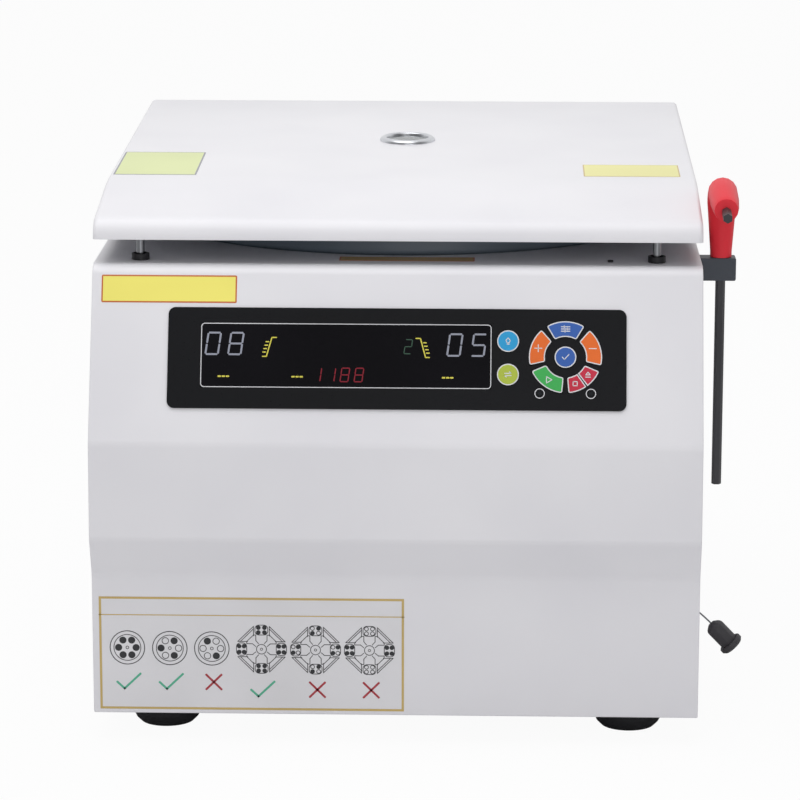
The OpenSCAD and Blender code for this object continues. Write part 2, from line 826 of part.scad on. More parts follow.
module window_glass() {
  proud = 1.4;
  color("lightgray", 0.5) on_sight() translate([0, 0, -sheet]) cylinder(r = glass_r, h = sheet + proud);
}

module lid_pins() {
  neck_room = 0.6;
  point = 2;
  neck_low = bar_z - neck_room;
  neck_top = bar_z + bar_t + neck_room;
  tip = deck_z - pin_reach;
  head = rim_z + lid_plate_z;
  color("silver") on_lid() both_sides(pin_x) translate([0, pin_y, 0]) rotate_extrude() polygon([[0, tip],
    [pin_r - point, tip], [pin_r, tip + point], [pin_r, neck_low], [neck_r, neck_low], [neck_r, neck_top],
    [pin_r, neck_top], [pin_r, head], [0, head]]);
}

module lid_leaves() {
  low = rim_z + lid_plate_z - leaf_t;
  color("silver") on_lid() both_sides(hinge_x) difference() {
    union() {
      block([-knuckle_len / 2, lid_back_y - leaf_len, low],
        [knuckle_len / 2, hinge_y, rim_z + lid_plate_z]);
      along_x([-knuckle_len / 2, hinge_y, hinge_z], knuckle_r, knuckle_len);
    }
    along_x([-knuckle_len, hinge_y, hinge_z], hinge_pin_r + run_gap, 2 * knuckle_len);
  }
}

module hinge_brackets() {
  ear_x = knuckle_len / 2 + ear_gap + ear_w / 2;
  color("silver") both_sides(hinge_x) both_sides(ear_x) difference() {
    union() {
      block([-ear_w / 2, hinge_y - knuckle_r, deck_z], [ear_w / 2, hinge_y + knuckle_r, hinge_z]);
      along_x([-ear_w / 2, hinge_y, hinge_z], knuckle_r, ear_w);
    }
    along_x([-ear_w, hinge_y, hinge_z], hinge_pin_r + run_gap, 2 * ear_w);
  }
}

module hinge_pins() {
  half = knuckle_len / 2 + ear_gap + ear_w + pin_over;
  color("dimgray") both_sides(hinge_x) along_x([-half, hinge_y, hinge_z], hinge_pin_r, 2 * half);
}

// Latch
module pin_bushes() {
  h = bush_below + sheet + bush_h;
  lip = bush_below + sheet + seam;
  color("black") both_sides(pin_x) translate([0, pin_y, under_z - bush_below]) difference() {
    union() {
      cylinder(r = bush_r, h = h);
      translate([0, 0, lip]) cylinder(r = bush_r + bush_lip, h = bush_h - 2 * seam);
    }
    translate([0, 0, -cut]) cylinder(r = bush_bore, h = h + 2 * cut);
  }
}

module lid_sensor() {
  color("black") translate([sensor_x, pin_y, under_z]) cylinder(r = sensor_r, h = sheet + sensor_h);
}

module latch_guides() {
  low = bar_z - bar_gap - guide_t;
  half = bar_w / 2 + bar_gap;
  color("gray") both_sides(guide_x) difference() {
    block([-guide_w / 2, pin_y - half - guide_t, low], [guide_w / 2, pin_y + half + guide_t, under_z]);
    block([-guide_w, pin_y - half, bar_z - bar_gap], [guide_w, pin_y + half, bar_z + bar_t + bar_gap]);
  }
}

module latch_bar() {
  slot = neck_r + neck_gap;
  tab_z = rod_z - rod_r - bar_t;
  color("silver") difference() {
    union() {
      block([-bar_half, pin_y - bar_w / 2, bar_z], [bar_half, pin_y + bar_w / 2, bar_z + bar_t]);
      block([tab_x, pin_y - bar_w / 2, tab_z], [tab_x + bar_t, pin_y + bar_w / 2, bar_z + bar_t]);
      along_x([solenoid_x, pin_y, rod_z], rod_r, tab_x - solenoid_x + bar_t / 2);
    }
    both_sides(pin_x) translate([0, pin_y, bar_z - cut]) {
      cylinder(r = bush_bore, h = bar_t + 2 * cut);
      translate([0, -slot, 0]) cube([bar_travel, 2 * slot, bar_t + 2 * cut]);
      translate([bar_travel, 0, 0]) cylinder(r = slot, h = bar_t + 2 * cut);
    }
  }
}

module lock_solenoid() {
  left = solenoid_x - solenoid_w / 2;
  right = solenoid_x + solenoid_w / 2;
  low = rod_z - solenoid_h / 2;
  strap_y = pin_y + bar_w / 2 + bar_gap;
  color("goldenrod") difference() {
    union() {
      block([left, pin_y - solenoid_d / 2, low], [right, pin_y + solenoid_d / 2, low + solenoid_h]);
      block([left, pin_y, low], [right, strap_y + sheet, rod_z]);
      block([left, strap_y, low], [right, strap_y + sheet, under_z]);
    }
    along_x([left - cut, pin_y, rod_z], rod_r + run_gap, solenoid_w + 2 * cut);
  }
}

// Control panel
module ring_key(from, to, gap, depth, h) {
  spread = gap / ring_in * 180 / PI;
  translate([ring_x, ring_s, -depth]) rotate(from - spread) rotate_extrude(angle = to - from + 2 * spread)
    translate([ring_in - gap, 0]) square([ring_out - ring_in + 2 * gap, h]);
}
module sector_key(mid, sweep, gap, depth, h) {
  ring_key(mid - sweep / 2, mid + sweep / 2, gap, depth, h);
}
module round_key(x, s, r, depth, h) {
  translate([x, s, -depth]) cylinder(r = r, h = h);
}

module control_overlay() {
  color("black") on_fascia() difference() {
    translate([overlay_x, overlay_s, 0]) linear_extrude(overlay_t)
      rounded_rect(overlay_w, overlay_h, overlay_r);
    translate([window_x, window_s, -cut]) linear_extrude(overlay_t + 2 * cut)
      square([window_w + 2 * seam, window_h + 2 * seam], center = true);
    for (end = [-1, 1]) {
      round_key(key_x, key_mid_s + end * key_pitch / 2, key_r + key_gap, cut, overlay_t + 2 * cut);
      round_key(ring_x + end * light_x, ring_s - light_drop, light_r + seam, cut, overlay_t + 2 * cut);
    }
    for (mid = ring_mids) sector_key(mid, ring_sweep, key_gap, cut, overlay_t + 2 * cut);
    round_key(ring_x, ring_s, enter_r + key_gap, cut, overlay_t + 2 * cut);
  }
}

module display_window() {
  color("black") on_fascia() translate([window_x, window_s, overlay_t - window_t])
    linear_extrude(window_t) square([window_w, window_h], center = true);
}

module control_board() {
  margin = 5;
  tray = 4;
  size = [2 * (post_x + margin), overlay_h - 2 * margin];
  color("darkgreen") on_fascia() {
    translate([overlay_x, overlay_s, board_z - board_t]) linear_extrude(board_t) square(size, center = true);
    translate([window_x, window_s, board_z - seam]) linear_extrude(overlay_t - window_t - board_z)
      square([window_w - 2 * tray, window_h - 2 * tray], center = true);
    for (x = [-post_x, post_x], s = [-post_s, post_s])
      translate([overlay_x + x, overlay_s + s, board_z - seam])
        cylinder(r = post_r, h = -board_z - sheet, $fn = 24);
  }
}

module indicator_lights() {
  color("lime") on_fascia() for (end = [-1, 1])
    round_key(ring_x + end * light_x, ring_s - light_drop, light_r, -board_z - seam, overlay_t - board_z);
}

module key_light() {
  color("deepskyblue") on_fascia() round_key(key_x, key_mid_s + key_pitch / 2, key_r, key_depth, key_h);
}
module key_mode() {
  color("yellowgreen") on_fascia() round_key(key_x, key_mid_s - key_pitch / 2, key_r, key_depth, key_h);
}
module key_set() {
  color("royalblue") on_fascia() sector_key(ring_mids[0], ring_sweep, 0, key_depth, key_h);
}
module key_enter() {
  color("royalblue") on_fascia() round_key(ring_x, ring_s, enter_r, key_depth, key_h);
}
module key_plus() {
  color("darkorange") on_fascia() sector_key(ring_mids[1], ring_sweep, 0, key_depth, key_h);
}
module key_minus() {
  color("darkorange") on_fascia() sector_key(ring_mids[2], ring_sweep, 0, key_depth, key_h);
}
module key_start() {
  color("limegreen") on_fascia() sector_key(ring_mids[3], ring_sweep, 0, key_depth, key_h);
}
module key_stop() {
  color("crimson") on_fascia()
    ring_key(ring_mids[4] - ring_sweep / 2, ring_mids[4] - key_split / 2, 0, key_depth, key_h);
}
module key_open() {
  color("crimson") on_fascia()
    ring_key(ring_mids[4] + key_split / 2, ring_mids[4] + ring_sweep / 2, 0, key_depth, key_h);
}

// Boards and back
module power_board() {
  size = [80, 66];
  left = inner_x - board_side - size[0];
  front = back_y - inlet_d - board_back - size[1];
  rise = 12;
  corner = 6;
  can_r = 9;
  can_h = 32;
  can_pitch = 22;
  cans = [18, 22];
  sink = [9, 40];
  sink_size = [62, 20, 24];
  color("darkgreen") translate([left, front, floor_z]) {
    translate([0, 0, rise]) cube([size[0], size[1], board_t]);
    for (x = [corner, size[0] - corner], y = [corner, size[1] - corner])
      translate([x, y, 0]) cylinder(r = post_r, h = rise + seam, $fn = 24);
    for (i = [0:2]) translate([cans[0] + can_pitch * i, cans[1], rise]) cylinder(r = can_r, h = can_h);
    translate([sink[0], sink[1], rise]) cube(sink_size);
  }
}

module fan_frame() {
  spoke_w = 4;
  screw_in = 4.5;
  screw_hole = 2.2;
  color("black") translate([fan_x, fan_y, fan_z]) rotate([-90, 0, 0]) difference() {
    union() {
      difference() {
        translate([-fan_w / 2, -fan_w / 2, 0]) cube([fan_w, fan_w, fan_t]);
        translate([0, 0, -cut]) cylinder(r = fan_bore, h = fan_t + 2 * cut);
      }
      for (a = [0:120:240]) rotate(a) translate([0, -spoke_w / 2, 0])
        cube([fan_bore + cut, spoke_w, spoke_t]);
      cylinder(r = fan_hub, h = spoke_t);
      cylinder(r = spindle_r, h = spindle_len);
    }
    for (x = [-1, 1], y = [-1, 1]) translate([x, y, 0] * (fan_w / 2 - screw_in))
      translate([0, 0, -cut]) cylinder(r = screw_hole, h = fan_t + 2 * cut, $fn = 24);
  }
}

module fan_rotor() {
  from = spoke_t + 0.4;
  hub_top = fan_t - spoke_t;
  blades = 7;
  pitch = 40;
  chord = 18;
  thick = 2;
  reach = fan_bore - blade_gap;
  color("dimgray") translate([fan_x, fan_y, fan_z]) rotate([-90, 0, 0]) difference() {
    union() {
      translate([0, 0, from]) cylinder(r = fan_hub, h = hub_top - from);
      intersection() {
        for (i = [0:blades - 1]) rotate(360 * i / blades) translate([0, 0, (from + hub_top) / 2])
          rotate([pitch, 0, 0]) translate([fan_hub / 2, -chord / 2, -thick / 2]) cube([reach, chord, thick]);
        translate([0, 0, from]) cylinder(r = reach, h = hub_top - from);
      }
    }
    translate([0, 0, from - cut]) cylinder(r = spindle_r + run_gap, h = spindle_len - from + cut + seam);
  }
}

module power_inlet() {
  lip_w = inlet_w + 2 * inlet_lip;
  lip_h = inlet_h + 2 * inlet_lip;
  floor_y = inlet_lip_t - mains_d;
  well = [rocker_w / 2 + rocker_gap, rocker_h / 2 + 1];
  back = 4;
  color("black") translate([inlet_x, back_y, inlet_z]) difference() {
    union() {
      block([-inlet_w / 2, -inlet_d, -inlet_h / 2], [inlet_w / 2, cut, inlet_h / 2]);
      block([-lip_w / 2, 0, -lip_h / 2], [lip_w / 2, inlet_lip_t, lip_h / 2]);
    }
    difference() {
      block([-mains_w / 2, floor_y, -mains_drop - mains_h / 2],
        [mains_w / 2, inlet_lip_t + cut, mains_h / 2 - mains_drop]);
      for (i = [-1:1])
        translate([i * blade_x - blade_w / 2, floor_y - cut, -mains_drop - blade_h * abs(i) + blade_h / 4])
          cube([blade_w, blade_len, blade_h]);
    }
    block([-well[0], back - inlet_d, rocker_up - well[1]], [well[0], inlet_lip_t + cut, rocker_up + well[1]]);
    along_x([-rocker_w / 2 - trunnion_len - cut, -rocker_sink, rocker_up], trunnion_r + run_gap,
      rocker_w + 2 * (trunnion_len + cut));
  }
}

module switch_rocker() {
  half = rocker_h / 2 - 0.6;
  swell = 4.2;
  heel = [-2, -half];
  toe = [-8, -3];
  dip = swell - half * tan(rocker_tilt);
  color("black") translate([inlet_x, rocker_y, inlet_z + rocker_up]) rotate([rocker_tilt, 0, 0]) {
    across([toe, heel, [swell, -half], [dip, 0], [swell, half], [heel[0], -heel[1]], [toe[0], -toe[1]]],
      rocker_w);
    along_x([-rocker_w / 2 - trunnion_len, 0, 0], trunnion_r, rocker_w + 2 * trunnion_len);
  }
}

// Stand
module feet() {
  bore = screw_r + screw_gap;
  head = screw_head_r + 2 * screw_gap;
  swell_h = 15;
  swell_steps = 4;
  swell = [for (i = [0:swell_steps]) let (a = 90 * i / swell_steps)
    [foot_bottom_r + (foot_r - foot_bottom_r) * sin(a), swell_h * (1 - cos(a))]];
  seat = [[bore, screw_sink], [head, screw_sink], [head, 0]];
  color("black") at_feet() rotate_extrude()
    polygon(concat(seat, swell, [[foot_r, foot_h], [bore, foot_h]]));
}

module foot_screws() {
  nut_h = 5;
  color("silver") at_feet() {
    translate([0, 0, screw_sink - screw_head_h]) cylinder(r = screw_head_r, h = screw_head_h);
    translate([0, 0, screw_sink - cut]) cylinder(r = screw_r, h = floor_z + nut_h + 2 * cut - screw_sink);
    translate([0, 0, floor_z]) cylinder(r = screw_head_r, h = nut_h, $fn = 6);
  }
}

// Hex key on the right side
module wrench_holder() {
  color("darkslategray") difference() {
    block([side_x, hex_y - holder_w / 2, holder_z],
      [hex_x + hex_r + holder_wall, hex_y + holder_w / 2, holder_top]);
    translate([hex_x, hex_y, holder_z - cut]) cylinder(r = hex_r + blade_room, h = holder_h + 2 * cut);
  }
}

module hex_bar(gap) {
  r = hex_r + gap;
  bend = arm_z - 1;
  leg = arm_len / cos(arm_tilt) + leg_out;
  translate([hex_x, hex_y, blade_z - gap]) cylinder(r = r, h = bend + r - blade_z, $fn = 6);
  translate([hex_x, hex_y, bend]) rotate([90 + arm_tilt, 0, 0]) rotate(30)
    cylinder(r = r, h = leg + gap, $fn = 6);
}

module wrench_shaft() {
  color("dimgray") hex_bar(0);
}

module wrench_handle() {
  stem_foot = 1;
  taper = 1;
  arm_end = 2;
  color("crimson") difference() {
    union() {
      hull() {
        translate([hex_x, hex_y, grip_z]) cylinder(r = stem_r, h = stem_foot, $fn = 32);
        translate([hex_x, hex_y, arm_z]) sphere(r = arm_r, $fn = 32);
      }
      hull() {
        translate([hex_x, hex_y, arm_z]) sphere(r = arm_r + taper, $fn = 32);
        translate(arm_tip) rotate([90 + arm_tilt, 0, 0]) cylinder(r = arm_r - taper, h = arm_end, $fn = 32);
      }
    }
    hex_bar(hex_gap);
  }
}

// Lid release
module release_socket() {
  bore = plug_r + plug_room;
  mouth = side_x + socket_proud;
  color("black") translate([0, socket_y, socket_z]) rotate([0, 90, 0]) difference() {
    union() {
      translate([0, 0, socket_bottom - socket_t])
        cylinder(r = socket_r, h = socket_depth + socket_proud + socket_t);
      translate([0, 0, side_x]) cylinder(r = socket_r + socket_lip, h = socket_proud);
      translate([0, 0, socket_back]) cylinder(r = barrel_r, h = socket_bottom - socket_back);
    }
    translate([0, 0, socket_bottom]) cylinder(r = bore, h = socket_depth + socket_proud + cut);
    translate([0, 0, mouth - flare_d]) cylinder(r1 = bore, r2 = bore + flare_w, h = flare_d);
    translate([0, 0, socket_back - cut])
      cylinder(r = wire_r + wire_room, h = socket_bottom - socket_back + 2 * cut);
  }
}

module release_sheath() {
  color("black") tube(sheath_route, sheath_r);
}

module release_wire() {
  color("gray") tube(wire_route, wire_r);
}

module release_plug() {
  edge = 1.5;
  flange = plug_len - flange_t;
  color("black") translate(wire_route[len(wire_route) - 1]) rotate([0, 90 + plug_lean, 0])
    rotate_extrude() polygon([[0, seam], [plug_r - plug_nose, seam], [plug_r - edge / 2, plug_nose - edge],
      [plug_r, plug_nose], [plug_r, flange], [flange_r, flange], [flange_r, plug_len - edge],
      [flange_r - edge, plug_len], [0, plug_len]]);
}

base_pan();
front_fascia();
left_panel();
right_panel();
rear_panel();
top_deck();
chamber_bowl();
chamber_gasket();
guard_ring();
motor_plate();
motor_dampers();
motor_housing();
motor_stator();
shaft_bearings();
hinge_brackets();
hinge_pins();
pin_bushes();
lid_sensor();
latch_guides();
lock_solenoid();
control_overlay();
display_window();
control_board();
indicator_lights();
power_board();
fan_frame();
power_inlet();
feet();
foot_screws();
wrench_holder();
release_socket();
release_sheath();
lid_shell();
lid_plate();
lid_liner();
window_ring();
window_glass();
lid_pins();
lid_leaves();
drive_shaft();
motor_core();
rotor_body();
rotor_lid();
rotor_knob();
latch_bar();
fan_rotor();
switch_rocker();
wrench_shaft();
wrench_handle();
release_wire();
release_plug();
key_light();
key_mode();
key_set();
key_plus();
key_minus();
key_start();
key_stop();
key_open();
key_enter();
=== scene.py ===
from math import atan2, cos, degrees, hypot, pi, radians, sin, tan

import bmesh
import bpy
from mathutils import Matrix, Vector


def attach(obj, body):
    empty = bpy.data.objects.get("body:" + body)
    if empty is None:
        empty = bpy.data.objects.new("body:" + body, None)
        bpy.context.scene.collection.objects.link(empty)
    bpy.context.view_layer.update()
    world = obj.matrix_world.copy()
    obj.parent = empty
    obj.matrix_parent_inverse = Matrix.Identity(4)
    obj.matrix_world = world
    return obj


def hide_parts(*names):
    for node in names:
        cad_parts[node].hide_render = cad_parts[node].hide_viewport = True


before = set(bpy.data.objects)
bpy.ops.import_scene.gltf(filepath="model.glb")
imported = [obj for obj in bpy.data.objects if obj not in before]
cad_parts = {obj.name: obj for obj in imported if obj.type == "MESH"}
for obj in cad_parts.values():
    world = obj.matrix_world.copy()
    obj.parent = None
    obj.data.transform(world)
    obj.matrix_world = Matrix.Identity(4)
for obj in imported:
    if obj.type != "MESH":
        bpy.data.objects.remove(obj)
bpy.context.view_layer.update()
mm = 0.001
tiny = 1e-5  # places closer than this are the same
through = 20.0  # depth of a cutter that passes right through a sheet, in millimetres
print("frame loaded:", len(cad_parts), "nodes")


# small helpers for selecting, placing and finishing meshes

def editDone():
    bpy.ops.object.mode_set(mode="OBJECT")


def selectAll():
    bpy.ops.mesh.select_all(action="SELECT")


def deselectAll():
    if bpy.context.object and bpy.context.object.mode != "OBJECT":
        editDone()
    bpy.ops.object.select_all(action="DESELECT")


def only(obj):
    # makes this the one selected and active object
    deselectAll()
    obj.select_set(True)
    bpy.context.view_layer.objects.active = obj


def edit(obj):
    only(obj)
    bpy.ops.object.mode_set(mode="EDIT")


def pick(obj, kind, test):
    # selects the vertices, edges or faces whose place or normal passes the test
    mesh = bmesh.from_edit_mesh(obj.data)
    bpy.ops.mesh.select_mode(type={"verts": "VERT", "edges": "EDGE", "faces": "FACE"}[kind])
    bpy.ops.mesh.select_all(action="DESELECT")
    for part in getattr(mesh, kind):
        if test(part):
            part.select_set(True)
    mesh.select_flush_mode()
    bmesh.update_edit_mesh(obj.data)


def started(name):
    obj = bpy.context.object
    obj.name = name
    obj.data.name = name
    return obj


def settle(obj, matrix=None):
    # leaves the object at the origin, unturned, with its place in its mesh
    only(obj)
    if matrix is not None:
        obj.matrix_world = matrix @ obj.matrix_world
    bpy.ops.object.transform_apply(location=True, rotation=True, scale=True)
    return obj


def applied(obj, kind, **settings):
    only(obj)
    step = obj.modifiers.new(kind.lower(), kind)
    for key, value in settings.items():
        setattr(step, key, value)
    bpy.ops.object.modifier_apply(modifier=step.name)


def smooth(obj, angle=35):
    only(obj)
    bpy.ops.object.shade_smooth_by_angle(angle=radians(angle))
    return obj


def outward(obj):
    edit(obj)
    selectAll()
    bpy.ops.mesh.remove_doubles(threshold=tiny)
    bpy.ops.mesh.normals_make_consistent(inside=False)
    editDone()
    return obj


def cutWith(obj, cutter):
    applied(obj, "BOOLEAN", operation="DIFFERENCE", object=cutter, solver="EXACT")
    bpy.data.objects.remove(cutter, do_unlink=True)


def joined(name, parts):
    deselectAll()
    for part in parts:
        part.select_set(True)
    bpy.context.view_layer.objects.active = parts[0]
    if len(parts) > 1:
        bpy.ops.object.join()
    return started(name)


def copied(obj, name):
    only(obj)
    bpy.ops.object.duplicate()
    return started(name)


def dress(obj, *finishes):
    obj.data.materials.clear()
    for finish in finishes:
        obj.data.materials.append(finish)
    return obj


def put(obj, body, replaces=()):
    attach(obj, body)
    if replaces:
        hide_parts(*replaces)


# shapes that come back on several pieces; their sizes and places are in millimetres

def at(x, y, z=0.0):
    return Matrix.Translation((x * mm, y * mm, z * mm))


def inMetres(pairs):
    return [(a * mm, b * mm) for a, b in pairs]


def bevelEdges(width, segments):
    # the picked edges, in edit mode
    bpy.ops.mesh.bevel(offset=width * mm, segments=segments, affect="EDGES")


def bevelSharp(obj, width, segments, angle):
    # every edge that turns more than the angle
    applied(obj, "BEVEL", width=width * mm, segments=segments, limit_method="ANGLE",
            angle_limit=radians(angle))


def box(name, place, size, turn=0.0):
    # block about its middle
    deselectAll()
    bpy.ops.mesh.primitive_cube_add(size=1, location=[v * mm for v in place], rotation=(0, 0, turn),
                                    scale=[v * mm for v in size])
    return settle(started(name))


def plate(name, w, h, t, r, segments=6):
    # flat plate on z = 0 with round corners, centred in x and y
    obj = box(name, (0, 0, t / 2), (w, h, t))
    if r > 0:
        edit(obj)
        pick(obj, "edges", lambda e: abs(e.verts[0].co.z - e.verts[1].co.z) > t * mm / 2)
        bevelEdges(r, segments)
        editDone()
    return obj


def disc(name, r, t, place, sides):
    # upright cylinder that stands on its place
    deselectAll()
    bpy.ops.mesh.primitive_cylinder_add(vertices=sides, radius=r * mm, depth=t * mm)
    x, y, z = place
    return settle(started(name), at(x, y, z + t / 2))


def hollow(obj, line):
    # leaves a flat ring of the given line width
    edit(obj)
    pick(obj, "faces", lambda f: abs(f.normal.z) > 0.9)
    bpy.ops.mesh.inset(thickness=line * mm, use_boundary=True)
    bpy.ops.mesh.bridge_edge_loops()
    editDone()
    return obj


def frameLine(name, w, h, line, t, r=0.0):
    return hollow(plate(name, w, h, t, r), line)


def hoop(name, r, line, t, place=(0, 0, 0), sides=64):
    return hollow(disc(name, r, t, place, sides), line)


def stroke(name, start, end, line, t):
    # straight printed line from one point to another
    (x0, y0), (x1, y1) = start, end
    obj = plate(name, hypot(x1 - x0, y1 - y0) + line, line, t, line * 0.35, 3)
    turn = Matrix.Rotation(atan2(y1 - y0, x1 - x0), 4, "Z")
    return settle(obj, at((x0 + x1) / 2, (y0 + y1) / 2) @ turn)


def turned(name, points, steps):
    # outline of radius and height, spun about Z; an outline that starts and ends on the axis closes there
    points = inMetres(points)
    deselectAll()
    bpy.ops.mesh.primitive_plane_add(size=mm)
    obj = started(name)
    edit(obj)
    selectAll()
    bpy.ops.mesh.merge(type="CENTER")
    selectAll()
    bpy.ops.transform.translate(value=(points[0][0], 0, points[0][1]))
    for (r0, z0), (r1, z1) in zip(points, points[1:]):
        bpy.ops.mesh.extrude_vertices_move(TRANSFORM_OT_translate={"value": (r1 - r0, 0, z1 - z0)})
    selectAll()
    bpy.ops.mesh.spin(steps=steps, angle=2 * pi, center=(0, 0, 0), axis=(0, 0, 1), use_auto_merge=True)
    editDone()
    return outward(obj)


def foldedSheet(name, points, width):
    # the edge of a plane is pulled along the outline in y and z, fold by fold
    points, width = inMetres(points), width * mm
    deselectAll()
    y0, z0 = points[0]
    bpy.ops.mesh.primitive_plane_add(size=width, location=(0, y0 - width / 2, z0))
    obj = settle(started(name))
    edit(obj)
    pick(obj, "edges", lambda e: all(v.co.y > y0 - width / 4 for v in e.verts))
    for (ya, za), (yb, zb) in zip(points, points[1:]):
        bpy.ops.mesh.extrude_region_move(TRANSFORM_OT_translate={"value": (0, yb - ya, zb - za)})
    pick(obj, "verts", lambda v: v.co.y < y0 - width / 2)
    bpy.ops.mesh.delete(type="VERT")
    editDone()
    return obj


def tube(name, points, radii, depth, resolution):
    # round section swept along a line of points; the radii multiply the depth
    curve = bpy.data.curves.new(name, "CURVE")
    curve.dimensions = "3D"
    line = curve.splines.new("POLY")
    line.points.add(len(points) - 1)
    for spot, point, r in zip(line.points, points, radii):
        spot.co = (*(Vector(point) * mm), 1)
        spot.radius = r
    curve.bevel_depth = depth * mm
    curve.bevel_resolution = resolution
    curve.use_fill_caps = True
    obj = bpy.data.objects.new(name, curve)
    bpy.context.collection.objects.link(obj)
    return obj


def arc(y, z, r, start, end, steps):
    # points on an arc, from one angle to another
    angles = [start + (end - start) * i / steps for i in range(steps + 1)]
    return [(y + r * cos(a), z + r * sin(a)) for a in angles]


# finishes: settings that they share, with sizes in millimetres
grainSet = {
    "drift": 111.0,
    "driftBand": (0.3, 0.7),
    "glossSpread": 0.06,
    "relief": 0.2,
    "coatRough": 0.08,
}
inkSet = {
    "mottle": 0.94,
    "grain": 0.8,
    "bump": 0.04,
    "coat": 0.3,
}
glassSet = {
    "tint": "#8d9398",
    "haze": 16.7,
    "gloss": (0.04, 0.12),
    "clear": 0.75,
    "ior": 1.52,
}


def linear(code):
    parts = [int(code[i:i + 2], 16) / 255 for i in (1, 3, 5)]
    return tuple(c / 12.92 if c <= 0.04045 else ((c + 0.055) / 1.055) ** 2.4 for c in parts) + (1.0,)


def adjust(tree, node, links=(), **settings):
    # each link is (own input, other node, its output); settings are properties, or inputs by name
    for key, value in settings.items():
        if hasattr(node, key):
            setattr(node, key, value)
        else:
            node.inputs[key.replace("_", " ")].default_value = value
    for own, other, output in links:
        tree.links.new(other.outputs[output], node.inputs[own])
    return node


def addNode(tree, kind, links=(), **settings):
    return adjust(tree, tree.nodes.new(kind), links, **settings)


def newFinish(name):
    finish = bpy.data.materials.new(name)
    finish.use_nodes = True
    tree = finish.node_tree
    shader = tree.nodes["Principled BSDF"]
    place = addNode(tree, "ShaderNodeTexCoord")
    return finish, tree, shader, place


def grained(name, light, dark, grain, rough, bump, metallic=0.0, coat=0.0, ior=1.5, stretch=None):
    # colour drifts between two tones and the surface has a fine grain of the given size in millimetres
    finish, tree, shader, place = newFinish(name)
    source = (place, "Object")
    if stretch:
        mapping = addNode(tree, "ShaderNodeMapping", [("Vector", place, "Object")], Scale=stretch)
        source = (mapping, "Vector")
    fine = addNode(tree, "ShaderNodeTexNoise", [("Vector", *source)], Scale=1 / (grain * mm), Detail=3.0)
    broad = addNode(tree, "ShaderNodeTexNoise", [("Vector", place, "Object")],
                    Scale=1 / (grainSet["drift"] * mm), Detail=2.0)
    tone = addNode(tree, "ShaderNodeValToRGB", [("Fac", broad, "Fac")])
    for end, position, code in zip(tone.color_ramp.elements, grainSet["driftBand"], (dark, light)):
        end.position = position
        end.color = linear(code)
    spread = grainSet["glossSpread"]
    gloss = addNode(tree, "ShaderNodeMapRange", [("Value", fine, "Fac")],
                    To_Min=max(rough - spread, 0.02), To_Max=min(rough + spread, 1.0))
    relief = addNode(tree, "ShaderNodeBump", [("Height", fine, "Fac")], Strength=bump,
                     Distance=grainSet["relief"] * mm)
    links = [("Base Color", tone, "Color"), ("Roughness", gloss, "Result"), ("Normal", relief, "Normal")]
    adjust(tree, shader, links, Metallic=metallic, Coat_Weight=coat, Coat_Roughness=grainSet["coatRough"],
           IOR=ior)
    return finish


# powder coat over sheet steel: a fine orange-peel and a soft sheen
powderCoat = grained("powder_coat_white", "#ecebef", "#e6e5ea", 1.6, 0.42, 0.10, coat=0.15)
panGrey = grained("powder_coat_grey", "#b9bac0", "#aeb0b6", 1.6, 0.5, 0.12)
# deep-drawn stainless: fine drawn lines round the bowl, seen as a soft blur
bowlSteel = grained("drawn_stainless", "#d2d4d7", "#c2c4c8", 0.9, 0.36, 0.08, metallic=0.85,
                    stretch=(1, 1, 12))
guardSteel = grained("hot_rolled_steel", "#6e7075", "#55575c", 2.2, 0.55, 0.25, metallic=0.9)
pinSteel = grained("zinc_plated_steel", "#a3a5a9", "#8f9195", 0.5, 0.3, 0.05, metallic=1.0)
brightSteel = grained("ground_steel", "#d2d3d6", "#b8babd", 0.5, 0.22, 0.05, metallic=1.0)
castAlloy = grained("cast_aluminium", "#a9abaf", "#96989c", 1.4, 0.48, 0.35, metallic=0.9)
# hard-anodised aluminium: nearly black with a grey bloom
rotorBlack = grained("hard_anodised_aluminium", "#2b2c30", "#232428", 0.8, 0.4, 0.10, metallic=0.6)
windings = grained("enamelled_copper", "#a5572c", "#7c3c1d", 0.9, 0.35, 0.5, metallic=0.7,
                   stretch=(1, 1, 0.2))
blackPlastic = grained("black_abs", "#26262a", "#1f1f23", 0.7, 0.45, 0.18)
plugBlack = grained("matt_black_plug", "#434145", "#39383b", 0.8, 0.6, 0.2)
blackRubber = grained("black_rubber", "#232326", "#19191b", 0.9, 0.72, 0.3)
# vacuum-formed liner: dark slate sheet with a low gloss
linerSlate = grained("slate_abs_liner", "#75808c", "#687380", 1.2, 0.34, 0.10, coat=0.2)
overlayBlack = grained("black_polyester_film", "#101116", "#0d0e12", 0.9, 0.3, 0.04, coat=0.2)
displaySmoke = grained("smoked_acrylic", "#121116", "#0d0c10", 3.0, 0.16, 0.0, ior=1.45)
boardGreen = grained("glass_epoxy_board", "#1d5a34", "#144526", 0.6, 0.4, 0.1)
hexBlack = grained("black_oxide_steel", "#47474a", "#3b3b3e", 0.8, 0.42, 0.12, metallic=0.5)
gripRed = grained("red_pvc_grip", "#ea3340", "#dd2a37", 1.1, 0.45, 0.14, ior=1.35)
holderSlate = grained("slate_nylon", "#40464f", "#383d46", 1.0, 0.5, 0.2)
wireGrey = grained("drawn_wire", "#8d8f94", "#77797e", 0.4, 0.35, 0.1, metallic=0.8)
chromeRing = grained("satin_chrome", "#d4d6da", "#c9cbd0", 2.0, 0.3, 0.02, metallic=0.9)
lampClear = grained("smoked_lens", "#23262a", "#1a1c20", 2.0, 0.2, 0.02, coat=0.4)


